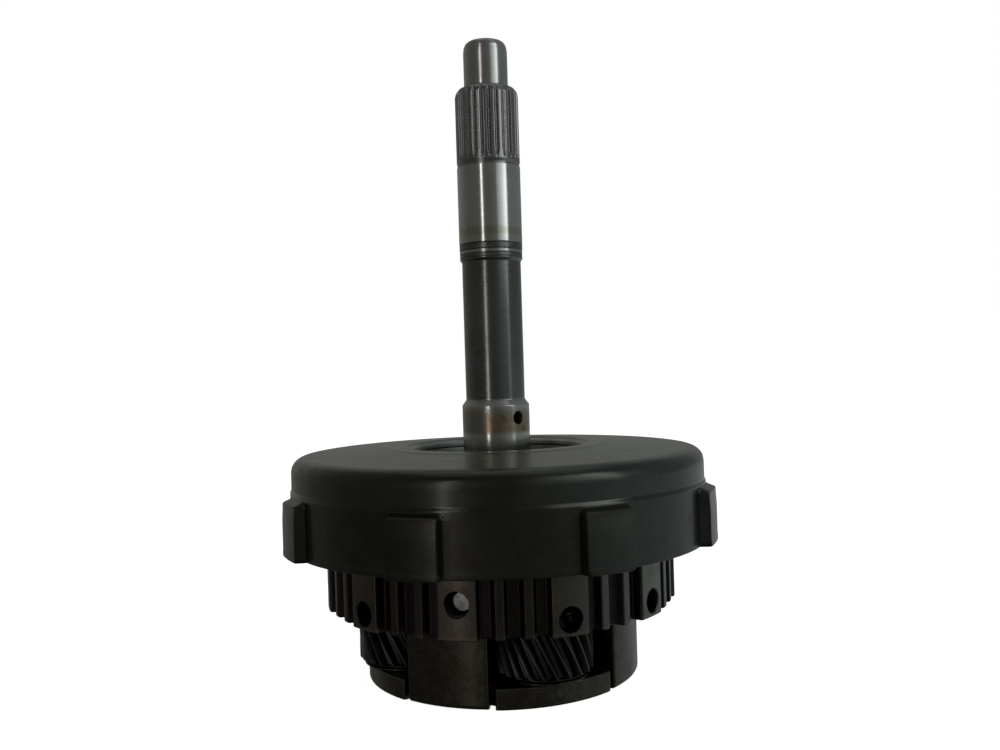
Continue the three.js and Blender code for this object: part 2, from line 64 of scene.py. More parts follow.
# ------------------------------------------------------------------ dimensions
PLANET_DEG = 21.7
CENTRE_R = 38.8
PLANETS = [PLANET_DEG + 90 * k for k in range(4)]
POSTS = [a - 45 for a in PLANETS]
PLANET_TEETH, SUN_TEETH = 22, 32
HELIX = math.radians(25.0)
MODULE_T = 2 * CENTRE_R / (PLANET_TEETH + SUN_TEETH)
PLANET_PITCH = MODULE_T * PLANET_TEETH / 2
SUN_PITCH = MODULE_T * SUN_TEETH / 2
GEAR_Z0, GEAR_Z1 = 9.8, 30.7
HUB_FIRST = -12.9
HUB_GROUPS = 11
LUG_FIRST = -19.8
SPLINE_FIRST = -3.5


# ------------------------------------------------------------------ mesh helpers
def finish_mesh(me, sharp):
    me.validate(clean_customdata=False)
    me.shade_smooth()
    me.set_sharp_from_angle(angle=math.radians(sharp))
    me.update()


def volume_of(V, F):
    total = 0.0
    for f in F:
        a = V[f[0]]
        for k in range(1, len(f) - 1):
            total += np.dot(a, np.cross(V[f[k]], V[f[k + 1]]))
    return total / 6


def quads_volume(V, Q):
    a, b, c, d = (V[Q[:, k]] for k in range(4))
    return (np.einsum("ij,ij->i", a, np.cross(b, c)).sum() + np.einsum("ij,ij->i", a, np.cross(c, d)).sum()) / 6


def build(name, V, Q, extra=(), weld=False, sharp=32.0):
    """Mesh object from vertices in mm, an (N, 4) array of quads and extra faces given as lists."""
    V = np.asarray(V, float)
    extra = [list(f) for f in extra]
    if weld:
        key = np.round(V, 4)
        uniq, first, inv = np.unique(key, axis=0, return_index=True, return_inverse=True)
        inv = inv.reshape(-1)
        V = V[first]
        Q = inv[Q]
        extra = [[int(inv[i]) for i in f] for f in extra]
        bad = (Q[:, 0] == Q[:, 1]) | (Q[:, 1] == Q[:, 2]) | (Q[:, 2] == Q[:, 3]) | (Q[:, 3] == Q[:, 0]) | (Q[:, 0] == Q[:, 2]) | (Q[:, 1] == Q[:, 3])
        for q in Q[bad]:
            f = [int(v) for i, v in enumerate(q) if v != q[i - 1]]
            if len(set(f)) >= 3 and len(set(f)) == len(f):
                extra.append(f)
        Q = Q[~bad]
    vol = quads_volume(V, Q) + (volume_of(V, extra) if extra else 0)
    faces = Q.tolist() + extra
    if vol < 0:
        faces = [f[::-1] for f in faces]
    me = bpy.data.meshes.new(name)
    me.from_pydata((V * MM).tolist(), [], faces)
    finish_mesh(me, sharp)
    ob = bpy.data.objects.new(name, me)
    bpy.context.scene.collection.objects.link(ob)
    ob["sharp"] = sharp
    return ob


def polar(name, th, R, Z, twist=None, closed=True, axis=False, sharp=32.0):
    """Solid from one closed (r, z) loop at each plan angle. With axis=True the loop starts and ends on the axis."""
    th = np.asarray(th, float)
    T, P = R.shape
    A = np.radians(th)[:, None] + (0.0 if twist is None else np.radians(twist))
    V = np.stack([R * np.sin(A), -R * np.cos(A), np.broadcast_to(Z, R.shape)], -1).reshape(-1, 3)
    ti = np.arange(T if closed else T - 1)
    pj = np.arange(P - 1 if axis else P)
    I, J = np.meshgrid(ti, pj, indexing="ij")
    I2, J2 = (I + 1) % T, (J + 1) % P
    Q = np.stack([I * P + J, I2 * P + J, I2 * P + J2, I * P + J2], -1).reshape(-1, 4)
    extra = []
    if not closed:
        extra = [list(range(P)), [(T - 1) * P + k for k in range(P)][::-1]]
    return build(name, V, Q, extra, weld=axis, sharp=sharp)


def rounded(points, radii, n=5, closed=True):
    """Polyline with its corners rounded: one radius for each corner, n steps in each arc, and a support
    point beside each arc so that the flats stay flat in the shading."""
    P = [np.array(p, float) for p in points]
    if np.isscalar(radii):
        radii = [radii] * len(P)
    N = len(P)
    arcs = []
    for i, p in enumerate(P):
        r = radii[i]
        if r <= 0 or (not closed and i in (0, N - 1)):
            arcs.append(None)
            continue
        a, b = P[i - 1] - p, P[(i + 1) % N] - p
        la, lb = np.linalg.norm(a), np.linalg.norm(b)
        a, b = a / la, b / lb
        phi = math.acos(float(np.clip(np.dot(a, b), -1, 1)))
        if phi > math.pi - 0.02:
            arcs.append(None)
            continue
        t = r / math.tan(phi / 2)
        lim = 0.49 * min(la, lb)
        if t > lim:
            t = lim
            r = t * math.tan(phi / 2)
        arcs.append((t, r, a, b, la, lb, phi))
    out = []
    for i, p in enumerate(P):
        if arcs[i] is None:
            out.append(p)
            continue
        t, r, a, b, la, lb, phi = arcs[i]
        before, after = arcs[i - 1], arcs[(i + 1) % N]
        room_a = la - t - (before[0] if before else 0.0)
        room_b = lb - t - (after[0] if after else 0.0)
        if room_a > 0.3 and phi < 2.9:
            out.append(p + a * (t + min(0.25, 0.3 * room_a)))
        c = p + (a + b) / np.linalg.norm(a + b) * (r / math.sin(phi / 2))
        s, e = p + a * t - c, p + b * t - c
        a0 = math.atan2(s[1], s[0])
        a1 = math.atan2(e[1], e[0])
        d = (a1 - a0 + math.pi) % (2 * math.pi) - math.pi
        for k in range(n + 1):
            w = a0 + d * k / n
            out.append(c + r * np.array([math.cos(w), math.sin(w)]))
        if room_b > 0.3 and phi < 2.9:
            out.append(p + b * (t + min(0.25, 0.3 * room_b)))
    return np.array(out)


def dense(points, step_fn, closed=True):
    """Adds points along the straight stretches: step_fn(p, q) gives the longest step there."""
    P = np.asarray(points, float)
    out = []
    N = len(P)
    for i in range(N if closed else N - 1):
        p, q = P[i], P[(i + 1) % N]
        L = np.linalg.norm(q - p)
        k = max(1, int(math.ceil(L / step_fn(p, q))))
        for j in range(k):
            out.append(p + (q - p) * j / k)
    if not closed:
        out.append(P[-1])
    return np.array(out)


def turned(name, loop, segments=160, axis=False, sharp=32.0, wobble=None):
    loop = np.asarray(loop, float)
    th = np.arange(segments) * 360.0 / segments
    R = np.broadcast_to(loop[:, 0], (segments, len(loop))).copy()
    Z = np.broadcast_to(loop[:, 1], (segments, len(loop))).copy()
    if wobble:
        R, Z = wobble(np.radians(th)[:, None], R, Z)
    return polar(name, th, R, Z, axis=axis, sharp=sharp)


def annulus(name, r0, r1, z0, z1, e=0.25, segments=160, n=3):
    return turned(name, rounded([(r0, z0), (r1, z0), (r1, z1), (r0, z1)], e, n), segments)


def open_ring(name, r0, r1, z0, z1, a0, a1, e=0.25, step=1.5):
    loop = rounded([(r0, z0), (r1, z0), (r1, z1), (r0, z1)], e, 3)
    T = int((a1 - a0) / step) + 1
    th = np.linspace(a0, a1, T)
    R = np.broadcast_to(loop[:, 0], (T, len(loop))).copy()
    Z = np.broadcast_to(loop[:, 1], (T, len(loop)))
    return polar(name, th, R, Z, closed=False)


def bar(name, r, frm, to, segments=40, flare=None):
    """Closed round bar between two points; flare=(length, extra) widens its far end as a chamfer."""
    a, b = Vector(frm), Vector(to)
    L = (b - a).length
    q = (b - a).to_track_quat("Z", "Y")
    loop = [(0, 0), (r, 0), (r, L), (0, L)]
    if flare:
        loop = [(0, 0), (r, 0), (r, L - flare[0]), (r + flare[1], L), (0, L)]
    ob = turned(name, loop, segments, axis=True)
    ob.matrix_world = Matrix.Translation(a * MM) @ q.to_matrix().to_4x4()
    return ob


def bake(ob):
    """Puts the object's place into its mesh."""
    bpy.context.view_layer.update()
    ob.data.transform(ob.matrix_world)
    ob.matrix_world = Matrix.Identity(4)
    return ob


def join(obs, name):
    V, F, off = [], [], 0
    for o in obs:
        bake(o)
        V += [v.co[:] for v in o.data.vertices]
        F += [[off + i for i in p.vertices] for p in o.data.polygons]
        off = len(V)
        bpy.data.objects.remove(o)
    me = bpy.data.meshes.new(name)
    me.from_pydata(V, [], F)
    me.update()
    ob = bpy.data.objects.new(name, me)
    bpy.context.scene.collection.objects.link(ob)
    return ob


def boolean(ob, tool, operation="DIFFERENCE"):
    sharp = ob.get("sharp", 32.0)
    m = ob.modifiers.new("cut", "BOOLEAN")
    m.operation = operation
    m.object = tool
    done = None
    for solver in ("MANIFOLD", "EXACT"):
        try:
            m.solver = solver
        except TypeError:
            continue
        bpy.context.view_layer.update()
        dg = bpy.context.evaluated_depsgraph_get()
        me = bpy.data.meshes.new_from_object(ob.evaluated_get(dg))
        if len(me.polygons) > 10 and len(me.polygons) != len(ob.data.polygons):
            done = me
            break
    if done is None:
        raise RuntimeError(f"boolean on {ob.name} did nothing")
    ob.modifiers.clear()
    ob.data = done
    finish_mesh(done, sharp)
    bpy.data.objects.remove(tool)
    return ob


def plan(r, deg, z=0.0):
    a = math.radians(deg)
    return (r * math.sin(a), -r * math.cos(a), z)


def smooth(x):
    x = np.clip(x, 0, 1)
    return x * x * (3 - 2 * x)


# ------------------------------------------------------------------ shader helpers
class G:
    """A material's node graph. Coordinates are the object's own, in millimetres."""

    def __init__(self, name):
        self.m = bpy.data.materials.new(name)
        self.m.use_nodes = True
        self.t = self.m.node_tree
        self.t.nodes.clear()
        self.out = self.t.nodes.new("ShaderNodeOutputMaterial")
        self.b = self.t.nodes.new("ShaderNodeBsdfPrincipled")
        self.t.links.new(self.b.outputs[0], self.out.inputs["Surface"])
        tc = self.t.nodes.new("ShaderNodeTexCoord")
        sc = self.t.nodes.new("ShaderNodeVectorMath")
        sc.operation = "SCALE"
        self.t.links.new(tc.outputs["Object"], sc.inputs[0])
        sc.inputs["Scale"].default_value = 1000.0
        self.p = sc.outputs[0]
        s = self.t.nodes.new("ShaderNodeSeparateXYZ")
        self.t.links.new(self.p, s.inputs[0])
        self.x, self.y, self.z = s.outputs
        self.r = self.f("SQRT", self.f("ADD", self.f("MULTIPLY", self.x, self.x), self.f("MULTIPLY", self.y, self.y)))

    def put(self, socket, v):
        if hasattr(v, "is_output"):
            self.t.links.new(v, socket)
        elif isinstance(v, (tuple, list)):
            socket.default_value = tuple(v) + ((1.0,) if len(v) == 3 and len(socket.default_value) == 4 else ())
        else:
            socket.default_value = v

    def f(self, op, a, b=None, c=None, clamp=False):
        n = self.t.nodes.new("ShaderNodeMath")
        n.operation = op
        n.use_clamp = clamp
        for i, v in enumerate((a, b, c)):
            if v is not None:
                self.put(n.inputs[i], v)
        return n.outputs[0]

    def map(self, v, a, b, c=0.0, d=1.0, smoothstep=True):
        n = self.t.nodes.new("ShaderNodeMapRange")
        n.interpolation_type = "SMOOTHSTEP" if smoothstep else "LINEAR"
        n.clamp = True
        for k, u in zip(("Value", "From Min", "From Max", "To Min", "To Max"), (v, a, b, c, d)):
            self.put(n.inputs[k], u)
        return n.outputs[0]

    def mix(self, fac, a, b, blend="MIX"):
        n = self.t.nodes.new("ShaderNodeMix")
        n.data_type = "RGBA"
        n.blend_type = blend
        n.clamp_factor = True
        self.put(n.inputs[0], fac)
        self.put(n.inputs[6], a)
        self.put(n.inputs[7], b)
        return n.outputs[2]

    def lerp(self, fac, a, b):
        n = self.t.nodes.new("ShaderNodeMix")
        n.data_type = "FLOAT"
        self.put(n.inputs[0], fac)
        self.put(n.inputs[2], a)
        self.put(n.inputs[3], b)
        return n.outputs[0]

    def noise(self, scale, detail=4.0, rough=0.55, stretch=None, seed=0.0, dist=0.0):
        v = self.p
        if stretch or seed:
            m = self.t.nodes.new("ShaderNodeMapping")
            self.t.links.new(v, m.inputs["Vector"])
            m.inputs["Scale"].default_value = stretch or (1, 1, 1)
            m.inputs["Location"].default_value = (seed * 37.1, seed * 11.7, seed * 23.3)
            v = m.outputs[0]
        n = self.t.nodes.new("ShaderNodeTexNoise")
        self.t.links.new(v, n.inputs["Vector"])
        n.inputs["Scale"].default_value = scale
        n.inputs["Detail"].default_value = detail
        n.inputs["Roughness"].default_value = rough
        n.inputs["Distortion"].default_value = dist
        return n.outputs[0]

    def noise_at(self, vec, scale, detail=3.0, rough=0.6):
        n = self.t.nodes.new("ShaderNodeTexNoise")
        self.t.links.new(vec, n.inputs["Vector"])
        n.inputs["Scale"].default_value = scale
        n.inputs["Detail"].default_value = detail
        n.inputs["Roughness"].default_value = rough
        return n.outputs[0]

    def vec(self, x, y, z):
        n = self.t.nodes.new("ShaderNodeCombineXYZ")
        for i, v in enumerate((x, y, z)):
            self.put(n.inputs[i], v)
        return n.outputs[0]

    def around(self, k_angle, k_r, k_z, scale, detail=3.0, rough=0.6):
        """Noise laid round the axis: marks that run with the turning when k_angle is small."""
        ang = self.f("ARCTAN2", self.y, self.x)
        v = self.vec(self.f("MULTIPLY", self.f("COSINE", ang), k_angle), self.f("MULTIPLY", self.f("SINE", ang), k_angle),
                     self.f("ADD", self.f("MULTIPLY", self.r, k_r), self.f("MULTIPLY", self.z, k_z)))
        return self.noise_at(v, scale, detail, rough)

    def ramp(self, fac, stops, interpolation="LINEAR"):
        n = self.t.nodes.new("ShaderNodeValToRGB")
        n.color_ramp.interpolation = interpolation
        e = n.color_ramp.elements
        while len(e) > 1:
            e.remove(e[0])
        e[0].position = stops[0][0]
        e[0].color = tuple(stops[0][1]) + (1.0,)
        for pos, c in stops[1:]:
            k = e.new(pos)
            k.color = tuple(c) + (1.0,)
        self.put(n.inputs[0], fac)
        return n.outputs[0]

    def normal_z(self):
        n = self.t.nodes.new("ShaderNodeTexCoord")
        s = self.t.nodes.new("ShaderNodeSeparateXYZ")
        self.t.links.new(n.outputs["Normal"], s.inputs[0])
        return s.outputs[2]

    def bump(self, height, strength=1.0):
        n = self.t.nodes.new("ShaderNodeBump")
        n.inputs["Strength"].default_value = strength
        n.inputs["Distance"].default_value = MM
        self.put(n.inputs["Height"], height)
        self.t.links.new(n.outputs[0], self.b.inputs["Normal"])

    def close(self, color, rough, metallic=1.0, coat=0.0, coat_rough=0.2, **more):
        self.put(self.b.inputs["Base Color"], color)
        self.put(self.b.inputs["Roughness"], rough)
        self.put(self.b.inputs["Metallic"], metallic)
        self.put(self.b.inputs["Coat Weight"], coat)
        self.b.inputs["Coat Roughness"].default_value = coat_rough
        for k, v in more.items():
            self.put(self.b.inputs[k], v)
        return self.m

    def add(self, *terms):
        out = terms[0]
        for t in terms[1:]:
            out = self.f("ADD", out, t)
        return out

    def mul(self, *terms):
        out = terms[0]
        for t in terms[1:]:
            out = self.f("MULTIPLY", out, t)
        return out


def drum_material():
    g = G("drum_steel_pressed")
    big = g.noise(0.028, 5, 0.6)
    mid = g.noise(0.16, 4, 0.6, seed=1)
    fine = g.noise(1.7, 3, 0.6, seed=2)
    grit = g.noise(5.0, 2, 0.5, seed=3)
    top = g.map(g.normal_z(), 0.93, 0.985)
    upper = g.map(g.z, 82.6, 84.2)
    c = g.mix(g.map(big, 0.36, 0.64), (0.034, 0.036, 0.031), (0.052, 0.054, 0.047))
    # brownish oil varnish on the lower wall
    low = g.mul(g.map(g.z, 74.0, 69.0), g.map(mid, 0.30, 0.62, 0.35, 1.0))
    c = g.mix(g.mul(low, 0.75), c, (0.032, 0.028, 0.021))
    # painted light: the wall grows lighter and greener towards the right, where the light falls
    c = g.mix(g.map(g.x, -10.0, 60.0, 0.0, 0.34), c, (0.080, 0.093, 0.087))
    c = g.mix(upper, c, g.mix(g.map(big, 0.36, 0.64), (0.124, 0.145, 0.130), (0.194, 0.222, 0.200)))
    # rubbed patches, faint streaks that run round the wall
    streak = g.around(6.0, 0.5, 0.9, 1.1, 4, 0.65)
    c = g.mix(g.mul(g.map(streak, 0.58, 0.76), 0.22), c, g.mix(upper, (0.095, 0.096, 0.085), (0.22, 0.22, 0.20)))
    c = g.mix(g.mul(g.map(mid, 0.60, 0.78), 0.5), c, g.mix(upper, (0.022, 0.019, 0.014), (0.085, 0.080, 0.066)))
    c = g.mix(g.mul(g.map(grit, 0.64, 0.72), 0.55), c, g.mix(upper, (0.175, 0.174, 0.158), (0.32, 0.325, 0.30)))
    c = g.mix(g.mul(g.map(fine, 0.36, 0.28), 0.6), c, (0.012, 0.011, 0.009))
    # machined top: concentric marks
    rings = g.around(0.6, 1.0, 0.0, 3.2, 4, 0.7)
    rough = g.add(g.map(big, 0.3, 0.7, 0.33, 0.43), g.mul(g.f("SUBTRACT", mid, 0.5), 0.12), g.mul(g.f("SUBTRACT", fine, 0.5), 0.10))
    rough = g.f("SUBTRACT", rough, g.mul(low, 0.03))
    seat = g.mul(upper, g.map(g.r, 41.9, 41.2))
    rough = g.lerp(g.mul(seat, 0.25), rough, 0.24)
    # the step and the shoulder are rubbed smoother than the wall
    step = g.mul(g.map(g.z, 70.9, 71.3), g.map(g.z, 73.1, 72.6))
    rough = g.lerp(g.mul(step, g.map(mid, 0.35, 0.6, 0.5, 0.95)), rough, 0.17)
    bend = g.mul(g.map(g.z, 79.5, 81.0), g.map(g.z, 83.9, 83.3))
    rough = g.lerp(g.mul(bend, g.map(mid, 0.35, 0.6, 0.2, 0.7)), rough, 0.22)
    h = g.add(g.mul(fine, 0.020), g.mul(mid, 0.05), g.mul(g.noise(0.045, 2, 0.5, seed=4), 0.45), g.mul(grit, 0.004),
              g.mul(top, g.mul(rings, 0.012)))
    g.bump(h)
    # painted light: the inside of the round opening is made pale, dull and hardly metallic to lift it out of its shade
    bore = g.mul(g.map(g.r, 35.2, 33.8), g.map(g.z, 70.0, 72.0))
    c = g.mix(bore, c, g.mix(g.map(mid, 0.36, 0.64), (0.25, 0.275, 0.262), (0.36, 0.395, 0.380)))
    rough = g.lerp(bore, rough, 0.55)
    return g.close(c, rough, g.f("SUBTRACT", 1.0, g.mul(bore, 0.9)), coat=0.32, coat_rough=0.17)


def hub_material():
    g = G("hub_steel_oiled")
    big = g.noise(0.05, 4, 0.6, seed=5)
    mid = g.noise(0.30, 4, 0.6, seed=6)
    fine = g.noise(2.4, 3, 0.6, seed=7)
    vert = g.noise(1.6, 4, 0.65, stretch=(1, 1, 0.10), seed=8)
    c = g.mix(g.map(big, 0.38, 0.62), (0.098, 0.080, 0.060), (0.072, 0.068, 0.058))
    # violet-brown temper colours between the teeth, lighter turned tips
    tip = g.map(g.r, 65.0, 65.25)
    gap = g.f("SUBTRACT", 1.0, tip)
    rib = g.mul(tip, g.map(g.r, 66.1, 65.5))
    c = g.mix(g.mul(rib, 0.70), c, (0.042, 0.036, 0.029))
    # painted light: the hub grows lighter and greener towards the right, where the light falls
    c = g.mix(g.map(g.x, 12.0, 50.0, 0.0, 0.75), c, (0.165, 0.180, 0.165))
    c = g.mix(g.mul(gap, 0.94), c, (0.029, 0.0225, 0.0225))
    bare = g.f("SUBTRACT", 1.0, g.f("MAXIMUM", g.mul(gap, 0.95), g.mul(rib, 0.75)))
    rust = g.mul(g.map(mid, 0.50, 0.68), g.map(g.x, 40.0, -20.0, 0.25, 1.0), bare)
    c = g.mix(g.mul(rust, 0.6), c, (0.115, 0.062, 0.031))
    c = g.mix(g.mul(g.map(vert, 0.58, 0.72), bare, 0.45), c, (0.200, 0.190, 0.165))
    c = g.mix(g.mul(g.map(fine, 0.38, 0.30), 0.6), c, (0.018, 0.014, 0.010))
    # worn line where the friction discs' teeth slide and light band at the lower ends
    end = g.mul(g.map(g.z, 29.2, 27.6), g.map(mid, 0.35, 0.6, 0.3, 1.0), tip)
    c = g.mix(g.mul(end, 0.45), c, (0.200, 0.185, 0.155))
    rough = g.add(g.map(mid, 0.3, 0.7, 0.30, 0.46), g.mul(g.f("SUBTRACT", vert, 0.5), 0.16))
    h = g.add(g.mul(fine, 0.012), g.mul(vert, 0.02), g.mul(mid, 0.05))
    g.bump(h)
    # painted pool of light: the end of the plug behind the first hole, and the bore round it, made pale and less rough
    stub = g.mul(g.map(g.r, 60.9, 60.8), g.mul(g.map(g.z, 45.0, 44.6), g.mul(g.map(g.r, 58.3, 60.0), g.map(g.z, 35.4, 35.9))))
    face = g.mul(stub, g.mul(g.map(g.x, -16.8, -16.6), g.map(g.x, -9.6, -9.8)))
    c = g.mix(face, c, g.mix(g.map(mid, 0.35, 0.65), (0.20, 0.20, 0.19), (0.42, 0.415, 0.40)))
    rough = g.lerp(face, rough, 0.36)
    return g.close(c, rough, 1.0, coat=g.mul(g.f("SUBTRACT", 1.0, g.mul(gap, 0.9)), 0.22), coat_rough=0.18)


def carrier_material():
    g = G("carrier_steel_cast")
    big = g.noise(0.07, 4, 0.6, seed=9)
    mid = g.noise(0.42, 5, 0.65, seed=10)
    fine = g.noise(2.8, 3, 0.6, seed=11)
    c = g.mix(g.map(mid, 0.38, 0.62), (0.052, 0.044, 0.034), (0.074, 0.066, 0.053))
    c = g.mix(g.mul(g.map(big, 0.48, 0.66), 0.6), c, (0.042, 0.029, 0.019))
    # fine scratches in two directions
    s1 = g.noise(2.2, 3, 0.7, stretch=(0.12, 0.12, 1.6), seed=12)
    s2 = g.noise(2.0, 3, 0.7, stretch=(1.3, 1.3, 0.10), seed=13)
    c = g.mix(g.mul(g.map(s1, 0.63, 0.72), 0.5), c, (0.260, 0.250, 0.220))
    c = g.mix(g.mul(g.map(s2, 0.64, 0.74), 0.35), c, (0.220, 0.210, 0.190))
    c = g.mix(g.mul(g.map(fine, 0.38, 0.30), 0.7), c, (0.014, 0.011, 0.008))
    # ground rim of the flange, made pale past its real tone as painted light where it shows through the hub's holes
    rim = g.mul(g.map(g.r, 51.3, 51.5), g.map(g.z, 33.6, 34.0), g.map(g.z, 45.6, 45.2))
    c = g.mix(rim, c, g.mix(s2, (0.55, 0.55, 0.52), (0.90, 0.89, 0.86)))
    rough = g.add(g.map(big, 0.3, 0.7, 0.30, 0.42), g.mul(g.f("SUBTRACT", mid, 0.5), 0.22))
    rough = g.lerp(g.mul(rim, 0.8), rough, 0.16)
    h = g.add(g.mul(fine, 0.014), g.mul(mid, 0.07), g.mul(s1, 0.012))
    g.bump(h)
    return g.close(c, rough, 1.0, coat=0.22, coat_rough=0.2)


def gear_material(name, tip_r, root_r):
    g = G(name)
    mid = g.noise(0.35, 3, 0.55, seed=14)
    fine = g.noise(3.0, 3, 0.6, seed=15)
    lead = g.noise(1.4, 4, 0.6, stretch=(1, 1, 0.15), seed=16)
    c = g.mix(g.map(mid, 0.35, 0.65), (0.050, 0.049, 0.045), (0.070, 0.068, 0.062))
    low = g.map(g.r, root_r + 1.3, root_r + 0.2)
    c = g.mix(g.mul(low, 0.5), c, (0.034, 0.030, 0.028))
    tip = g.map(g.r, tip_r - 0.35, tip_r - 0.08)
    c = g.mix(g.mul(tip, g.map(lead, 0.35, 0.60, 0.3, 1.0)), c, (0.090, 0.089, 0.085))
    c = g.mix(g.mul(g.map(mid, 0.58, 0.72), 0.35), c, (0.055, 0.042, 0.031))
    rough = g.add(g.map(mid, 0.3, 0.7, 0.36, 0.46), g.mul(g.f("SUBTRACT", fine, 0.5), 0.06))
    h = g.add(g.mul(fine, 0.002), g.mul(lead, 0.006))
    g.bump(h)
    return g.close(c, rough, 1.0, coat=0.18, coat_rough=0.12)


def shaft_material():
    g = G("shaft_steel_zones")
    top = 242.0
    u = g.f("DIVIDE", g.z, top)

    def at(*rows):
        return [(z / top, c) for z, c in rows]

    grey = lambda v, w=1.0: (v, v * 1.0, v * w)
    base = g.ramp(u, at(
        (0, grey(.40, .97)), (83.0, grey(.46, .95)), (90.3, grey(.48, .94)), (91.2, (.27, .225, .175)), (95.5, (.25, .205, .155)),
        (98.9, (.29, .265, .23)), (101.0, grey(.46)), (103.0, grey(.38)), (103.5, (.160, .176, .172)), (107, (.164, .180, .176)),
        (138, (.172, .180, .173)), (155.8, (.158, .164, .156)), (157.3, grey(.24)), (157.5, grey(.16)), (159.05, grey(.16)),
        (159.15, grey(.44)), (160.4, grey(.44)), (160.55, grey(.16)), (162.8, grey(.16)), (163.0, grey(.46, .98)),
        (165.4, (.45, .45, .42)), (166.2, (.37, .38, .31)), (168.6, (.38, .39, .32)), (169.3, grey(.48)), (192.2, grey(.49)),
        (192.9, grey(.24)), (193.9, grey(.235)), (222.0, grey(.26)), (223.4, grey(.42)), (240.7, grey(.43))))
    rgh = g.ramp(u, at(
        (0, grey(.25)), (83, grey(.18)), (90.4, grey(.17)), (91.5, grey(.27)), (98.8, grey(.28)), (101, grey(.2)),
        (103.2, grey(.21)), (155.8, grey(.20)), (157.4, grey(.26)), (159.2, grey(.18)), (160.4, grey(.18)), (160.6, grey(.3)),
        (162.9, grey(.15)), (192.4, grey(.15)), (193.1, grey(.28)), (196, grey(.22)), (221, grey(.22)), (223.6, grey(.20)),
        (240.7, grey(.21))))
    sp = g.t.nodes.new("ShaderNodeSeparateColor")
    g.t.links.new(rgh, sp.inputs[0])
    rgh = sp.outputs[0]
    # turned marks: strong on the shank, faint on the ground lengths
    shank = g.mul(g.map(g.z, 103.2, 103.8), g.map(g.z, 156.4, 155.8))
    marks = g.around(0.5, 0.0, 1.0, 3.0, 4, 0.75)
    marks2 = g.around(3.0, 0.0, 1.0, 9.0, 3, 0.6)
    blotch = g.noise(0.10, 4, 0.65, seed=17)
    mid = g.noise(0.55, 4, 0.6, seed=18)
    fine = g.noise(3.5, 3, 0.6, seed=19)
    along = g.noise(1.4, 3, 0.6, stretch=(1, 1, 0.07), seed=20)
    c = g.mix(g.mul(g.map(marks, 0.35, 0.65), g.add(g.mul(shank, 0.22), 0.08)), base, (0.03, 0.03, 0.03), "MIX")
    c = g.mix(g.mul(g.map(blotch, 0.50, 0.68), g.add(g.mul(shank, 0.35), 0.10)), c, (0.10, 0.075, 0.050))
    stain = g.mul(g.map(g.z, 90.4, 91.6), g.map(g.z, 98.4, 97.0))
    bare = g.mul(stain, g.map(g.x, -3.2, -6.5))
    c = g.mix(g.mul(bare, 0.8), c, (0.24, 0.245, 0.225))
    stain = g.mul(stain, g.map(g.x, -6.5, -3.2))
    c = g.mix(g.mul(stain, g.map(mid, 0.42, 0.66), g.map(g.x, 4.5, -1.0, 0.35, 1.0), 0.8), c, (0.36, 0.22, 0.12))
    c = g.mix(g.mul(stain, g.map(blotch, 0.46, 0.36), 0.6), c, (0.10, 0.08, 0.055))
    c = g.mix(g.mul(g.map(fine, 0.34, 0.27), 0.6), c, (0.03, 0.028, 0.022))
    c = g.mix(g.mul(g.map(fine, 0.70, 0.76), 0.35), c, (0.55, 0.55, 0.52))
    # splines: a little oil in the roots, worn tooth tips
    spl = g.mul(g.map(g.z, 193.1, 195.8), g.map(g.z, 223.0, 221.6))
    root = g.mul(spl, g.map(g.r, 12.0, 11.3))
    c = g.mix(g.mul(root, 0.22), c, (0.10, 0.095, 0.085))
    c = g.mix(g.mul(spl, g.map(g.r, 11.95, 12.12), g.map(along, 0.4, 0.6), 0.08), c, (0.40, 0.40, 0.38))
    rough = g.add(rgh, g.mul(g.f("SUBTRACT", mid, 0.5), 0.10), g.mul(g.f("SUBTRACT", marks, 0.5), g.add(g.mul(shank, 0.10), 0.05)))
    h = g.add(g.mul(marks, g.add(g.mul(shank, 0.005), 0.0014)), g.mul(marks2, g.add(g.mul(shank, 0.0015), 0.0008)),
              g.mul(mid, g.add(g.mul(shank, 0.008), 0.002)), g.mul(spl, g.mul(along, 0.0012)))
    g.bump(h)
    return g.close(c, rough, 1.0, coat=0.10, coat_rough=0.12)


def ground_material(name, a, b, rough, coat=0.15, seed=21.0, turning=0.004):
    g = G(name)
    mid = g.noise(0.4, 4, 0.6, seed=seed)
    fine = g.noise(3.0, 3, 0.6, seed=seed + 1)
    marks = g.around(0.6, 1.0, 1.0, 3.0, 4, 0.7)
    c = g.mix(g.map(mid, 0.35, 0.65), a, b)
    c = g.mix(g.mul(g.map(marks, 0.55, 0.75), 0.3), c, tuple(v * 1.5 for v in b))
    c = g.mix(g.mul(g.map(fine, 0.36, 0.28), 0.5), c, tuple(v * 0.2 for v in a))
    r = g.add(g.map(mid, 0.3, 0.7, rough - 0.05, rough + 0.07), g.mul(g.f("SUBTRACT", marks, 0.5), 0.12))
    g.bump(g.add(g.mul(marks, turning), g.mul(fine, 0.003), g.mul(mid, 0.01)))
    return g.close(c, r, 1.0, coat=coat, coat_rough=0.15)


def lining_material():
    g = G("friction_lining_paper")
    fib = g.noise(2.6, 5, 0.7, seed=31)
    mid = g.noise(0.2, 4, 0.6, seed=32)
    plate = g.map(g.r, 67.0, 66.7)
    c = g.mix(g.map(fib, 0.35, 0.65), (0.030, 0.019, 0.011), (0.085, 0.056, 0.034))
    c = g.mix(g.mul(g.map(mid, 0.5, 0.7), 0.6), c, (0.018, 0.012, 0.008))
    c = g.mix(plate, c, (0.16, 0.15, 0.14))
    g.bump(g.add(g.mul(fib, 0.05), g.mul(mid, 0.05)))
    return g.close(c, g.lerp(plate, g.map(fib, 0.3, 0.7, 0.55, 0.85), 0.35), 0.0, coat=0.1, coat_rough=0.3)


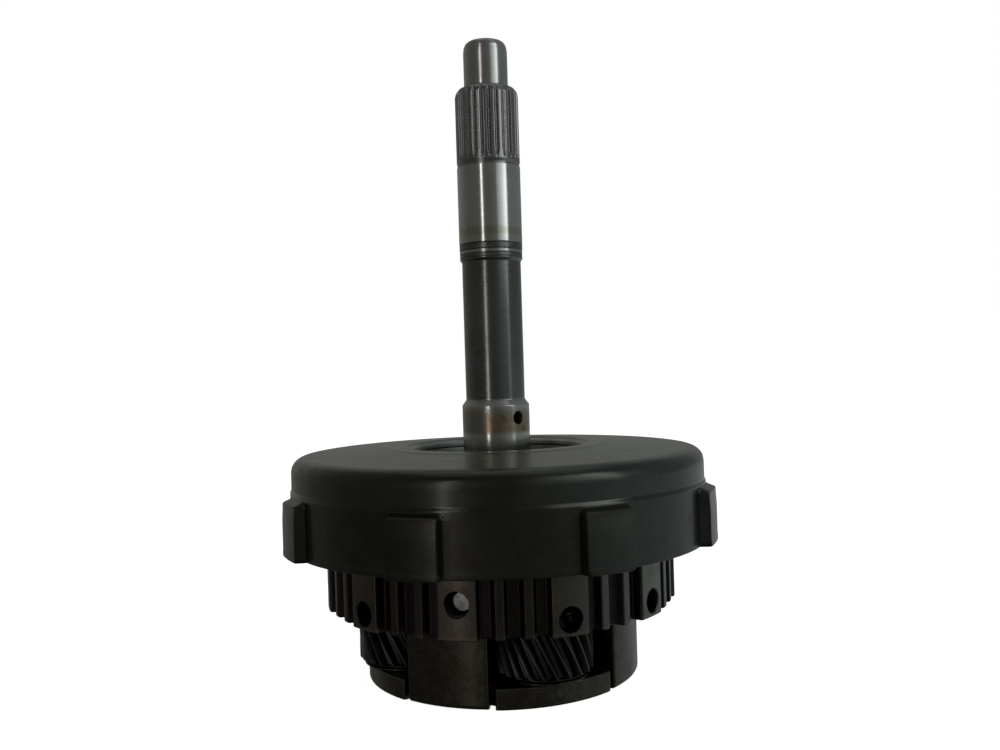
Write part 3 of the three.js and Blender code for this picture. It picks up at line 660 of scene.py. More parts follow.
def seal_material(name, base, rough):
    g = G(name)
    mid = g.noise(0.9, 4, 0.6, seed=33)
    marks = g.around(1.5, 1.0, 1.0, 4.0, 3, 0.6)
    c = g.mix(g.map(mid, 0.35, 0.65), base, tuple(v * 1.9 for v in base))
    c = g.mix(g.mul(g.map(marks, 0.6, 0.75), 0.4), c, tuple(v * 3.2 for v in base))
    g.bump(g.add(g.mul(marks, 0.006), g.mul(mid, 0.01)))
    return g.close(c, g.add(rough, g.mul(g.f("SUBTRACT", mid, 0.5), 0.2)), 0.0, coat=0.1, coat_rough=0.25)


M = {
    "drum_steel": drum_material(),
    "hub_steel": hub_material(),
    "carrier_steel": carrier_material(),
    "pinion": gear_material("pinion_steel", 17.2, 14.0),
    "sun": gear_material("sun_steel", 24.38, 21.2),
    "shaft_steel": shaft_material(),
    "ground_steel": ground_material("ground_steel_plate", (0.20, 0.195, 0.18), (0.30, 0.295, 0.28), 0.27),
    "bearing_steel": ground_material("bearing_steel_bright", (0.36, 0.355, 0.34), (0.50, 0.495, 0.48), 0.18, seed=25.0),
    "bronze": ground_material("bronze_oiled", (0.26, 0.150, 0.062), (0.36, 0.235, 0.110), 0.28, seed=27.0),
    # painted shade: darkened copies of the bronze and the steel for the washers under the pinions
    "bronze_painted_shade": ground_material("bronze_darkened_as_shade", (0.030, 0.023, 0.016), (0.046, 0.036, 0.025), 0.36, seed=29.0),
    "washer_oily": ground_material("washer_in_old_oil", (0.038, 0.035, 0.030), (0.060, 0.056, 0.048), 0.33, seed=35.0),
    "lock_pin": ground_material("lock_pin_oiled", (0.050, 0.044, 0.036), (0.085, 0.078, 0.066), 0.34, seed=37.0),
    "friction_lining": lining_material(),
    "seal_ring": ground_material("seal_ring_iron", (0.105, 0.110, 0.106), (0.150, 0.156, 0.150), 0.30, seed=39.0),
    "rubber_seal": seal_material("rubber_moulded", (0.010, 0.010, 0.010), 0.6),
}
M["gear_steel"] = M["pinion"]


def use(ob, node, body, slot, material=None):
    """The piece stands for a CAD node, rides on its body and takes its finish from a slot."""
    ob.data.materials.clear()
    ob.data.materials.append(M[material or slot])
    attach(ob, body)
    for n in ([node] if isinstance(node, str) else node):
        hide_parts(n)
    return ob


# ------------------------------------------------------------------ clutch drum
def lug_field(th, z, half, top, corner, ramp, sharpness=0.5, squash=1.0, foot=0.0):
    """0 outside a lug, 1 on its face. th is (T, 1) in degrees, z is (T, P)."""
    d = (th - LUG_FIRST + 22.5) % 45.0 - 22.5
    s = np.abs(np.radians(d)) * 79.05
    # distance inside a rectangle with rounded upper corners; squash < 1 makes the upper slope longer
    qx, qz = s - (half - corner), (z - top) * squash + corner
    outside = np.hypot(np.maximum(qx, 0), np.maximum(qz, 0))
    inside = np.minimum(np.maximum(qx, qz), 0)
    dist = corner - (outside + inside)
    if foot:
        # rounded lower corners
        dist = np.minimum(dist, foot - np.hypot(np.maximum(s - (half - foot), 0), np.maximum(49.9 + foot - ramp - z, 0)))
    t = np.clip(dist / ramp, 0, 1)
    return sharpness * t + (1 - sharpness) * smooth(t)


def make_drum():
    outline = [(79.05, 49.9), (79.05, 71.4), (78.55, 72.5), (78.5, 83.74), (58.3, 84.85), (57.0, 85.0), (43.5, 85.75), (41.5, 86.18),
               (35.6, 86.18), (32.8, 84.7), (32.8, 83.2), (74.2, 81.87), (74.2, 73.3), (75.0, 70.9), (75.0, 52.8),
               (76.4, 52.8), (76.4, 50.9), (75.0, 50.9), (75.0, 49.9)]
    radii = [0.55, 1.1, 1.1, 5.5, 1.0, 1.0, 1.2, 1.0, 1.6, 0.7, 0.4, 3.0, 0.8, 0.8, 0.12, 0.12, 0.12, 0.12, 0.35]
    loop = rounded(outline, radii, 7)

    def step(p, q):
        wall = min(p[0], q[0]) > 74.5
        z = (p[1] + q[1]) / 2
        if wall and abs(p[0] - q[0]) < 0.5:
            return 1.2
        return 3.0

    loop = dense(loop, step)
    # rows close together under the tops of the lugs and of the channels behind them
    out = []
    N = len(loop)
    for i in range(N):
        p, q = loop[i], loop[(i + 1) % N]
        lo, hi = sorted((p[1], q[1]))
        if min(p[0], q[0]) > 78.3 and hi > 66.5 and lo < 71.2 and abs(p[1] - q[1]) > 0.3:
            k = int(math.ceil(abs(p[1] - q[1]) / 0.26))
        elif min(p[0], q[0]) > 78.3 and hi > 50.0 and lo < 53.0 and abs(p[1] - q[1]) > 0.4:
            k = int(math.ceil(abs(p[1] - q[1]) / 0.4))
        elif 74.5 < p[0] < 76 and hi > 66.5 and lo < 69.2 and abs(p[1] - q[1]) > 0.3:
            k = int(math.ceil(abs(p[1] - q[1]) / 0.3))
        else:
            k = 1
        for j in range(k):
            out.append(p + (q - p) * j / k)
    loop = np.array(out)
    # angles close together at the edges of the lugs and channels
    th = set(np.round(np.arange(0, 360, 1.5), 4))
    for k in range(8):
        c = LUG_FIRST + 45 * k
        for s in (-1, 1):
            for d in np.arange(4.95, 6.95, 0.15):
                th.add(round((c + s * d) % 360, 4))
            for d in np.arange(3.55, 4.6, 0.22):
                th.add(round((c + s * d) % 360, 4))
    th = np.array(sorted(th))
    keep = np.concatenate([[True], np.diff(th) > 0.05])
    th = th[keep]
    T, P = len(th), len(loop)
    R = np.broadcast_to(loop[:, 0], (T, P)).copy()
    Z = np.broadcast_to(loop[:, 1], (T, P)).copy()
    outer = (loop[:, 0] > 78.3) & (loop[:, 1] < 72.4)
    inner = (loop[:, 0] <= 76.5) & (loop[:, 0] > 74.6) & (loop[:, 1] < 70.8)
    T2 = th[:, None]
    f = lug_field(T2, Z, 9.6, 71.1, 2.1, 1.35, 0.40, 0.75, 2.9)
    # the lug's face is a little lower at its top than at its bottom
    height = 3.80 - 0.30 * smooth((Z - 62.0) / 7.0)
    edge = np.where(Z < 50.6, (50.6 - Z) * 0.35, 0.0)
    R[:, outer] += (f * height)[:, outer] - (f * edge)[:, outer] * 0.2
    fi = lug_field(T2, Z, 6.15, 68.4, 1.2, 0.7, 0.5)
    target = 79.45
    R[:, inner] = np.where(fi[:, inner] > 0, R[:, inner] + (target - R[:, inner]) * fi[:, inner], R[:, inner])
    # the pressed wall is not quite true
    a = np.radians(T2)
    wav = 0.05 * np.sin(3 * a + 0.6) + 0.035 * np.sin(7 * a + 2.1) + 0.03 * np.sin(16 * a)
    body = (Z > 52) & (Z < 83)
    R = R + np.where(body & (np.broadcast_to(loop[:, 0], (T, P)) > 78.3), wav - 0.06, 0.0)
    flat = (loop[:, 0] > 36) & (loop[:, 0] < 72) & (loop[:, 1] > 83.8)
    Z[:, flat] += (0.05 * np.sin(2 * a + 1.0) - 0.06) * np.ones((1, flat.sum()))
    return polar("clutch_drum_shell", th, R, Z, sharp=40)


use(make_drum(), "clutch_drum", "drum", "drum_steel")

# Sleeve and everything else that turns with the drum
use(turned("drum_sleeve_bore", rounded([(33.1, 54.0), (37.0, 54.0), (37.0, 61.2), (35.9, 61.2), (35.9, 63.2), (37.0, 63.2),
                                       (37.0, 82.8), (33.1, 82.8)], [.4, .4, .1, .15, .15, .1, .5, .5], 3), 160),
    "drum_sleeve", "drum", "drum_steel")
use(annulus("drum_bush_lined", 30.2, 32.6, 56.0, 74.0, 0.3), "drum_bush", "drum", "bronze")
use(open_ring("drum_snap_ring_wire", 73.0, 76.0, 51.15, 52.55, LUG_FIRST + 4, LUG_FIRST + 356), "drum_snap_ring", "drum", "bearing_steel")


def lugged_plate(name, z0, z1):
    """Flat ring with an outer lug in each of the drum's channels."""
    th = set(np.round(np.arange(0, 360, 1.5), 4))
    for k in range(8):
        c = LUG_FIRST + 45 * k
        for s in (-1, 1):
            for d in (3.2, 3.35, 3.5, 3.6, 3.7, 3.8, 3.9):
                th.add(round((c + s * d) % 360, 4))
    th = np.array(sorted(th))
    d = np.abs((th - LUG_FIRST + 22.5) % 45 - 22.5)
    out = 74.5 + (78.95 - 74.5) * np.clip((3.9 - d) / 0.5, 0, 1)
    loop = rounded([(67.25, z0), (74.5, z0), (74.5, z1), (67.25, z1)], 0.2, 2)
    R = np.broadcast_to(loop[:, 0], (len(th), len(loop))).copy()
    far = loop[:, 0] > 70
    R[:, far] += (out - 74.5)[:, None]
    return polar(name, th, R, np.broadcast_to(loop[:, 1], R.shape))


use(lugged_plate("backing_plate_ring", 52.9, 56.3), "backing_plate", "drum", "ground_steel")
for i in range(3):
    z = 52.9 + 3.4 + 0.3 + i * 4.0
    use(lugged_plate(f"steel_plate_ring_{i + 1}", z + 2.1, z + 3.7), f"steel_plate_{i + 1}", "drum", "ground_steel")
    # friction disc with inner teeth in the hub's grooves
    th = set(np.round(np.arange(0, 360, 1.5), 4))
    centres = [HUB_FIRST + k * 360 / HUB_GROUPS + d for k in range(HUB_GROUPS) for d in (7.85, 16.37, 24.88)]
    for c in centres:
        for d in (1.1, 1.2, 1.3, 1.45, 1.55, 1.65):
            th.update((round((c - d) % 360, 4), round((c + d) % 360, 4)))
    th = np.array(sorted(th))
    d = np.min(np.abs((th[:, None] - np.array(centres)[None] + 180) % 360 - 180), 1)
    inner = 66.85 - (66.85 - 62.85) * np.clip((1.6 - d) / 0.35, 0, 1)
    loop = rounded([(66.85, z), (73.75, z), (73.75, z + 1.8), (66.85, z + 1.8)], 0.2, 2)
    R = np.broadcast_to(loop[:, 0], (len(th), len(loop))).copy()
    near = loop[:, 0] < 70
    R[:, near] += (inner - 66.85)[:, None]
    use(polar(f"friction_disc_lined_{i + 1}", th, R, np.broadcast_to(loop[:, 1], R.shape)), f"friction_disc_{i + 1}", "carrier", "friction_lining")

spring = turned("piston_return_spring_cone", rounded([(39.8, 66.6), (58.0, 72.9), (58.0, 74.6), (39.8, 68.3)], 0.3, 2), 128)
use(spring, "piston_return_spring", "drum", "bearing_steel")
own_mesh(spring)
use(annulus("spring_retainer_ring", 37.3, 44.5, 63.6, 66.0, 0.5), "spring_retainer", "drum", "ground_steel")
use(open_ring("retainer_snap_ring_wire", 36.6, 39.8, 61.5, 62.9, 10, 350), "retainer_snap_ring", "drum", "bearing_steel")

# Piston
use(turned("clutch_piston_pressed", rounded([
    (37.6, 75.0), (67.0, 75.0), (67.6, 70.6), (73.0, 70.6), (73.3, 76.6), (71.6, 76.6), (71.6, 79.2), (73.2, 79.2), (71.6, 81.2),
    (37.6, 81.2), (37.6, 79.2), (39.3, 79.2), (39.3, 76.7), (37.6, 76.7)],
    [.3, 1.2, .5, .5, .3, .2, .2, .3, .8, .4, .2, .2, .2, .2], 4), 160), "clutch_piston", "piston", "ground_steel")
use(annulus("piston_inner_seal_ring", 37.25, 39.0, 77.0, 78.9, 0.5), "piston_inner_seal", "piston", "rubber_seal")
use(annulus("piston_outer_seal_ring", 71.95, 73.8, 76.9, 78.9, 0.5), "piston_outer_seal", "piston", "rubber_seal")


# ------------------------------------------------------------------ clutch hub
def make_hub():
    pitch = 360 / HUB_GROUPS
    pts, rad = [], []
    for i in range(HUB_GROUPS):
        c = HUB_FIRST + i * pitch
        for a, r, f in ((-6.05, 62.3, 0.8), (-5.62, 66.25, 0.35), (5.62, 66.25, 0.35), (6.05, 62.3, 0.8)):
            pts.append((c + a, r))
            rad.append(f)
        for d in (12.1, 20.63):
            for a, r, f in ((-2.35, 62.3, 0.9), (-1.32, 65.3, 0.75), (1.32, 65.3, 0.75), (2.35, 62.3, 0.9)):
                pts.append((c + d + a, r))
                rad.append(f)
    # rounded in arc length, then back to angles
    k = math.radians(1) * 64.3
    flat = [(a * k, r) for a, r in pts]
    flat = [(flat[-1][0] - 360 * k, flat[-1][1])] + flat + [(flat[0][0] + 360 * k, flat[0][1])]
    rr = rounded(flat, [0] + rad + [0], 4, closed=False)[1:-1]
    rr = dense(np.vstack([rr, [rr[0][0] + 360 * k, rr[0][1]]]), lambda p, q: 1.3, closed=False)[:-1]
    th, ro = rr[:, 0] / k, rr[:, 1]
    order = np.argsort(th)
    th, ro = th[order], ro[order]
    keep = np.concatenate([[True], np.diff(th) > 0.004])
    th, ro = th[keep], ro[keep]
    loop = rounded([(58.5, 27.2), (66.25, 27.2), (66.25, 70.0), (58.5, 70.0), (58.5, 50.2), (30.3, 50.2), (30.3, 46.3), (58.5, 46.3)],
                   [0.4, 0.75, 0.6, 0.4, 1.5, 0.4, 0.4, 1.5], 4)
    loop = dense(loop, lambda p, q: 6.0)
    R = np.broadcast_to(loop[:, 0], (len(th), len(loop))).copy()
    Z = np.broadcast_to(loop[:, 1], R.shape)
    out = loop[:, 0] > 62
    R[:, out] -= (66.25 - ro)[:, None]
    hub = polar("clutch_hub_toothed", th, R, Z, sharp=38)
    tools = []
    for i in range(HUB_GROUPS):
        a = HUB_FIRST + i * pitch
        z = 39.3 if i in (0, 4, 7) else 32.8
        tools.append(bar(f"t{i}", 4.15, plan(56, a, z), plan(66.8, a, z), 56, flare=(1.0, 0.75)))
    hub = boolean(hub, join(tools, "hub_tools"))
    # a plug behind the first hole that carries the painted pool of light
    pin = bar("hub_pin", 3.1, plan(51.2, HUB_FIRST + 0.45, 39.1), plan(60.2, HUB_FIRST + 0.45, 39.1), 48)
    return join([hub, pin], "clutch_hub_toothed")


use(make_hub(), "clutch_hub", "carrier", "hub_steel")


# ------------------------------------------------------------------ carrier
def make_plate():
    half = 17.3 + 2.4
    th, ro = [], []
    for c in POSTS:
        a0, a1 = c - half, c + half
        # inside the notch
        for a in np.linspace(a0 + 0.02, a1 - 0.02, 20):
            th.append(a)
            e = min(a - a0, a1 - a) * math.radians(1) * 46.4
            ro.append(46.4 + (0.0 if e > 1.0 else (1.0 - math.sqrt(max(0, 1.0 ** 2 - (1.0 - e) ** 2)))))
        # the rim between this notch and the next
        b0, b1 = a1, a1 + 90 - 2 * half
        edge = [0.0, 0.05, 0.12, 0.22, 0.36, 0.6, 0.85, 1.0]
        mids = np.linspace(b0 + 1.2, b1 - 1.2, 34)
        for a in [b0 + e for e in edge] + list(mids) + [b1 - e for e in reversed(edge)]:
            s = min(a - b0, b1 - a) * math.radians(1) * 51.6
            th.append(a)
            ro.append(51.6 - (0.0 if s > 0.9 else 0.9 - math.sqrt(max(0, 0.9 ** 2 - (0.9 - s) ** 2))))
    th, ro = np.array(th), np.array(ro)
    order = np.argsort(th)
    th, ro = th[order], ro[order]
    loop = rounded([(14.0, 0.0), (51.6, 0.0), (51.6, 7.5), (14.0, 7.5)], [0.4, 0.65, 0.6, 0.4], 4)
    loop = dense(loop, lambda p, q: 8.0)
    R = np.broadcast_to(loop[:, 0], (len(th), len(loop))).copy()
    base = loop[:, 0]
    w = np.clip((base - 20) / (51.6 - 20), 0, 1)
    edge = base > 50.5
    R[:, edge] -= (51.6 - ro)[:, None]
    mid = (~edge) & (base > 20)
    # the flat faces' inner rows stay under the notch's depth
    R[:, mid] = 14 + (R[:, mid] - 14) * ((ro - 14) / (51.6 - 14))[:, None]
    plate = polar("carrier_plate_notched", th, R, np.broadcast_to(loop[:, 1], R.shape), sharp=38)
    tools = []
    for k, a in enumerate(PLANETS):
        x, y, _ = plan(CENTRE_R, a)
        tools.append(bar(f"h{k}", 6.5, (x, y, -1), (x, y, 9), 56))
    plate = boolean(plate, join(tools, "plate_tools"))
    tools = [bar(f"l{k}", 1.72, plan(CENTRE_R, a, 3.75), plan(51.95, a, 3.75), 32) for k, a in enumerate(PLANETS)]
    return boolean(plate, join(tools, "plate_tools_2"))


use(make_plate(), "carrier_plate", "carrier", "carrier_steel")


def make_cage():
    flange = turned("carrier_cage_posts", dense(rounded([
        (17.4, 33.0), (51.6, 33.0), (51.6, 46.0), (29.9, 46.0), (29.9, 75.9), (28.6, 75.9), (28.6, 78.0), (29.9, 78.0),
        (29.9, 79.0), (17.4, 79.0)], [.5, .6, .6, .8, .15, .15, .15, .15, .35, .5], 4), lambda p, q: 8.0), 180, sharp=38)
    posts = []
    for k, c in enumerate(POSTS):
        loop = dense(rounded([(40.0, 7.9), (47.0, 7.9), (47.0, 0.1), (51.6, 0.1), (51.6, 33.45), (40.0, 33.45)], [0.5, 0.4, 0.4, 1.5, 0, 0], 6), lambda p, q: 6.0)
        half = 17.3
        edge = np.array([0.0, 0.04, 0.1, 0.2, 0.32, 0.5, 0.75])
        th = np.concatenate([c - half + edge, np.linspace(c - half + 1.6, c + half - 1.6, 22), (c + half - edge)[::-1]])
        s = (half - np.abs(th - c)) * math.radians(1) * 51.6
        cut = np.where(s > 0.7, 0.0, 0.7 - np.sqrt(np.maximum(0, 0.49 - (0.7 - s) ** 2)))
        R = np.broadcast_to(loop[:, 0], (len(th), len(loop))).copy()
        far = loop[:, 0] > 47
        R[:, far] -= cut[:, None]
        posts.append(polar(f"post{k}", th, R, np.broadcast_to(loop[:, 1], R.shape), closed=False, sharp=38))
    cage = boolean(flange, join(posts, "posts"), "UNION")
    tools = []
    for k, a in enumerate(PLANETS):
        x, y, _ = plan(CENTRE_R, a)
        tools.append(bar(f"c{k}", 18.5, (x, y, -2), (x, y, 32.999), 90))
    cage = boolean(cage, join(tools, "cage_tools"))
    tools = []
    for k, a in enumerate(PLANETS):
        x, y, _ = plan(CENTRE_R, a)
        tools.append(bar(f"p{k}", 6.5, (x, y, 31), (x, y, 48), 56))
    return boolean(cage, join(tools, "cage_tools_2"))


use(make_cage(), "carrier_cage", "carrier", "carrier_steel")


def copies(ob, body_of, names, node_of, slot, material=None, radius=CENTRE_R):
    """Places one local mesh at each planet station."""
    for k, a in enumerate(PLANETS):
        o = ob if k == 0 else ob.copy()
        if k:
            bpy.context.scene.collection.objects.link(o)
        o.name = names(k + 1)
        x, y, _ = plan(radius, a)
        o.matrix_world = Matrix.Translation((x * MM, y * MM, 0)) @ Matrix.Rotation(math.radians(a), 4, "Z")
    bpy.context.view_layer.update()
    for k in range(4):
        use(bpy.data.objects[names(k + 1)], node_of(k + 1), body_of(k + 1), slot, material)


def involute(teeth, root, tip, pitch, base, half_deg, first, samples=7):
    """(plan angle, radius) round a toothed wheel with involute flanks."""
    inv = lambda r: math.tan(math.acos(min(1, base / r))) - math.acos(min(1, base / r))
    rows = []
    rs = np.linspace(max(base, root + 0.3), tip - 0.12, samples)
    ip = inv(pitch)
    for i in range(teeth):
        c = first + 360 * i / teeth
        half = [(r, half_deg + math.degrees(ip - inv(r))) for r in rs]
        tip_half = half[-1][1] - 0.25
        root_half = half[0][1] + 0.35
        gap = 180 / teeth
        left = [(c - gap, root), (c - (gap + root_half) / 2 - 0.15, root + 0.02), (c - root_half, root + 0.22)]
        left += [(c - h, r) for r, h in half]
        left += [(c - tip_half, tip), (c - tip_half / 2, tip), (c, tip), (c + tip_half / 2, tip), (c + tip_half, tip)]
        left += [(c + h, r) for r, h in reversed(half)]
        left += [(c + root_half, root + 0.22), (c + (gap + root_half) / 2 + 0.15, root + 0.02)]
        rows += left
    rows.sort()
    return np.array(rows)


def gear(name, prof, bore, z0, z1, twist_total, rows=14, chamfer=0.55, tip=17.2):
    th, ro = prof[:, 0], prof[:, 1]
    zs = np.linspace(z0 + chamfer, z1 - chamfer, rows)
    pts = [(bore + 0.4, z0), ("root", z0), ("tip", z0), *[("full", z) for z in zs], ("tip", z1), ("root", z1), (bore + 0.4, z1),
           (bore, z1 - 0.4), (bore, z0 + 0.4)]
    T, P = len(th), len(pts)
    R, Z = np.zeros((T, P)), np.zeros((T, P))
    rmin = ro.min()
    for j, (k, z) in enumerate(pts):
        Z[:, j] = z
        if k == "root":
            R[:, j] = rmin - 1.3
        elif k == "tip":
            R[:, j] = rmin + (ro - rmin) * 0.84 - 0.05
        elif k == "full":
            R[:, j] = ro
        else:
            R[:, j] = k
    tw = twist_total * (Z - z0) / (z1 - z0)
    tw = np.where(R < bore + 1.0, 0.0, tw)
    return polar(name, th, R, Z, twist=tw, sharp=34)


turn = math.degrees((GEAR_Z1 - GEAR_Z0) * math.tan(HELIX) / PLANET_PITCH)
pinion = gear("pinion_1_helical", involute(PLANET_TEETH, 14.0, 17.19, PLANET_PITCH, 14.67, 3.5, 180 + 180 / PLANET_TEETH), 9.1,
              GEAR_Z0, GEAR_Z1, -turn)
copies(pinion, lambda k: f"planet_{k}", lambda k: f"pinion_{k}_helical", lambda k: f"pinion_{k}", "gear_steel", "pinion")

sz0, sz1 = GEAR_Z0 + 0.4, GEAR_Z1 - 0.4
sun_first = PLANET_DEG + math.degrees(0.4 * math.tan(HELIX) / SUN_PITCH)
sun = gear("sun_gear_helical", involute(SUN_TEETH, 21.2, 24.37, SUN_PITCH, 21.33, 2.4, sun_first, 6), 11.35, sz0, sz1,
           math.degrees((sz1 - sz0) * math.tan(HELIX) / SUN_PITCH))
use(sun, "sun_gear", "shaft", "gear_steel", "sun")


def needles(name, r0, r1, z0, z1, count, depth=0.45):
    """Ring whose outside shows its rollers."""
    per = 10
    th = np.arange(count * per) * 360 / (count * per)
    u = (np.arange(count * per) % per) / per * 2 - 1
    bulge = np.sqrt(np.maximum(0, 1 - u ** 2))
    loop = rounded([(r0, z0), (r1, z0), (r1, z1), (r0, z1)], 0.3, 2)
    R = np.broadcast_to(loop[:, 0], (len(th), len(loop))).copy()
    far = loop[:, 0] > (r0 + r1) / 2
    R[:, far] -= (depth * (1 - bulge))[:, None]
    return polar(name, th, R, np.broadcast_to(loop[:, 1], R.shape), sharp=40)


def thrust(name, r0, r1, z0, z1, count):
    """Flat thrust bearing whose rollers stand a little proud of the cage."""
    per = 8
    th = np.arange(count * per) * 360 / (count * per)
    u = (np.arange(count * per) % per) / per * 2 - 1
    bulge = np.sqrt(np.maximum(0, 1 - (u / 0.8) ** 2))
    e = 0.3
    w = r1 - r0
    loop = np.array([(r0, z0 + e), (r0 + e, z0 + e), (r0 + .22 * w, z0 + e), (r0 + .24 * w, z0), (r1 - .24 * w, z0), (r1 - .22 * w, z0 + e),
                     (r1 - e, z0 + e), (r1, z0 + 2 * e), (r1, z1 - 2 * e), (r1 - e, z1 - e), (r1 - .22 * w, z1 - e), (r1 - .24 * w, z1),
                     (r0 + .24 * w, z1), (r0 + .22 * w, z1 - e), (r0 + e, z1 - e), (r0, z1 - 2 * e)])
    R = np.broadcast_to(loop[:, 0], (len(th), len(loop))).copy()
    Z = np.broadcast_to(loop[:, 1], R.shape).copy()
    lo, hi = loop[:, 1] <= z0 + 0.01, loop[:, 1] >= z1 - 0.01
    Z[:, lo] = z0 + (e * 0.9 * (1 - bulge))[:, None]
    Z[:, hi] = z1 - (e * 0.9 * (1 - bulge))[:, None]
    return polar(name, th, R, Z, sharp=40)


copies(needles("pinion_needle_bearing_1_full", 6.5, 8.7, 10.6, 29.9, 18), lambda k: f"planet_{k}",
       lambda k: f"pinion_needle_bearing_{k}_full", lambda k: f"pinion_needle_bearing_{k}", "bearing_steel")
# the lower washers take the darkened copies: painted shade under the pinions
copies(annulus("pinion_lower_steel_washer_1_flat", 6.5, 15.4, 7.8, 8.5, 0.2, 120), lambda k: "carrier",
       lambda k: f"pinion_lower_steel_washer_{k}_flat", lambda k: f"pinion_lower_steel_washer_{k}", "bearing_steel", "washer_oily")
copies(annulus("pinion_lower_bronze_washer_1_flat", 6.5, 14.9, 8.8, 9.5, 0.2, 120), lambda k: "carrier",
       lambda k: f"pinion_lower_bronze_washer_{k}_flat", lambda k: f"pinion_lower_bronze_washer_{k}", "bronze", "bronze_painted_shade")
copies(annulus("pinion_upper_washer_1_flat", 6.5, 14.9, 31.0, 32.7, 0.25, 120), lambda k: "carrier",
       lambda k: f"pinion_upper_washer_{k}_flat", lambda k: f"pinion_upper_washer_{k}", "bronze")

pin = turned("planet_pin_1_ground", rounded([(0, 0.9), (6.2, 0.9), (6.2, 45.6), (0, 45.6)], [0, 0.6, 0.6, 0], 4, closed=False), 72, axis=True)
pin = boolean(pin, bake(bar("pin_tool", 1.9, (0, -2.0, 3.75), (0, -8.0, 3.75), 28)))
copies(pin, lambda k: "carrier", lambda k: f"planet_pin_{k}_ground", lambda k: f"planet_pin_{k}", "ground_steel")
L = 51.5 - CENTRE_R - 2.4
lock_mesh = turned("pin_lock_1_rolled", rounded([(0, 0), (1.67, 0), (1.67, L), (0, L)], [0, 0.25, 0.12, 0], 3, closed=False), 36, axis=True)
lock_mesh.matrix_world = Matrix.Translation((0, -(CENTRE_R + 2.4) * MM, 3.75 * MM)) @ Matrix.Rotation(math.radians(90), 4, "X")
bake(lock_mesh)
copies(lock_mesh, lambda k: "carrier", lambda k: f"pin_lock_{k}_rolled", lambda k: f"pin_lock_{k}", "bearing_steel", "lock_pin", radius=0.0)

use(annulus("plate_bush_lined", 9.7, 13.7, 0.8, 6.6, 0.4), "plate_bush", "carrier", "bronze")
use(annulus("shaft_bush_lower_lined", 13.17, 17.1, 36.0, 46.0, 0.4), "shaft_bush_lower", "carrier", "bronze")
use(annulus("shaft_bush_upper_lined", 13.17, 17.1, 64.0, 76.0, 0.4), "shaft_bush_upper", "carrier", "bronze")
use(open_ring("drum_retaining_ring_wire", 29.0, 32.2, 76.3, 77.7, 8, 352), "drum_retaining_ring", "carrier", "bearing_steel")
use(thrust("drum_thrust_bearing_rollers", 30.5, 36.8, 50.5, 53.7, 36), "drum_thrust_bearing", "carrier", "bearing_steel")
use(thrust("sun_thrust_bearing_lower_rollers", 13.6, 20.0, 7.8, 9.7, 26), "sun_thrust_bearing_lower", "carrier", "bearing_steel")
use(thrust("sun_thrust_bearing_upper_rollers", 13.8, 20.0, 30.6, 32.7, 26), "sun_thrust_bearing_upper", "carrier", "bearing_steel")


# ------------------------------------------------------------------ input shaft
def make_shaft():
    R0 = 12.2
    prof = [
        (0, 99.9), (3.2, 98.2), (3.2, 1.5), (9.5, 1.5), (9.5, 6.9), (11.0, 6.9), (11.0, 7.6), (10.0, 7.6), (10.0, 9.3), (11.0, 9.3),
        (11.0, 33.4), (12.95, 33.4), (12.95, 101.1), (11.35, 103.3), (11.35, 156.1), (12.08, 157.1), (12.08, 157.5), (10.6, 157.5),
        (10.6, 159.1), (12.08, 159.1), (12.08, 160.5), (10.6, 160.5), (10.6, 162.9), (12.2, 162.9), (12.2, 192.5), (11.9, 192.8),
        (11.9, 193.15), (12.2, 194.4), (12.2, 219.8), (11.8, 221.2), (10.9, 222.4), (9.6, 223.0), (8.5, 223.2), (8.5, 236.6),
        (8.3, 238.6), (7.7, 240.0), (6.8, 240.75), (2.6, 240.75), (2.2, 239.9), (0, 237.6)]
    rad = [0, .2, .6, .5, .4, .3, .15, .15, .15, .15, .4, .6, .5, .5, .8, .2, .12, .12, .12, .12, .12, .12, .12, .2, .2, .12,
           .2, .8, 1.0, .8, .8, .4, .3, .8, .8, .8, .35, .2, .2, 0]
    loop = rounded(prof, rad, 4, closed=False)
    out = []
    for i in range(len(loop) - 1):
        p, q = loop[i], loop[i + 1]
        zs = np.array([p[1], *[z for z in (*np.arange(193.5, 198.3, 0.4), 205.0, 212.0, *np.arange(216.0, 223.0, 0.7))
                               if p[1] + 0.05 < z < q[1] - 0.05 and p[0] > 8.6 and q[0] > 8.6]])
        for z in zs:
            out.append(p + (q - p) * ((z - p[1]) / (q[1] - p[1]) if len(zs) > 1 else 0))
    loop = dense(np.array(out + [loop[-1]]), lambda p, q: 8.0, closed=False)
    teeth = 26
    rows = []
    for i in range(teeth):
        c = SPLINE_FIRST + 360 * i / teeth
        root = 11.36
        for a, r in ((-6.92, root), (-5.9, root + 0.05), (-5.1, root + 0.24), (-4.4, root + 0.52), (-3.8, 11.97), (-3.3, 12.13), (-2.8, 12.2),
                     (-1.4, 12.2), (0, 12.2), (1.4, 12.2), (2.8, 12.2), (3.3, 12.13), (3.8, 11.97), (4.4, root + 0.52),
                     (5.1, root + 0.24), (5.9, root + 0.05)):
            rows.append((c + a, r))
    rows.sort()
    rows = np.array(rows)
    th, ro = rows[:, 0], rows[:, 1]
    T, P = len(th), len(loop)
    R = np.broadcast_to(loop[:, 0], (T, P)).copy()
    Z = np.broadcast_to(loop[:, 1], (T, P)).copy()
    # the cutter runs out into the neck at the lower end of the splines
    for j in range(P):
        z = loop[j, 1]
        if 193.2 < z < 223.1 and loop[j, 0] > 9.0:
            lift = 0.92 * smooth((197.7 - z) / 4.0)
            R[:, j] = np.minimum(R[:, j], ro + lift)
    ob = polar("input_shaft_turned", th, R, Z, axis=True, sharp=36)
    tools = [bar("o1", 2.2, plan(1.2, 40.8, 96.3), plan(13.3, 40.8, 96.3), 40, flare=(0.95, 0.6)),
             bar("o2", 1.6, plan(1.2, 220.8, 50.0), plan(13.3, 220.8, 50.0), 28, flare=(0.8, 0.45))]
    return boolean(ob, join(tools, "shaft_tools"))


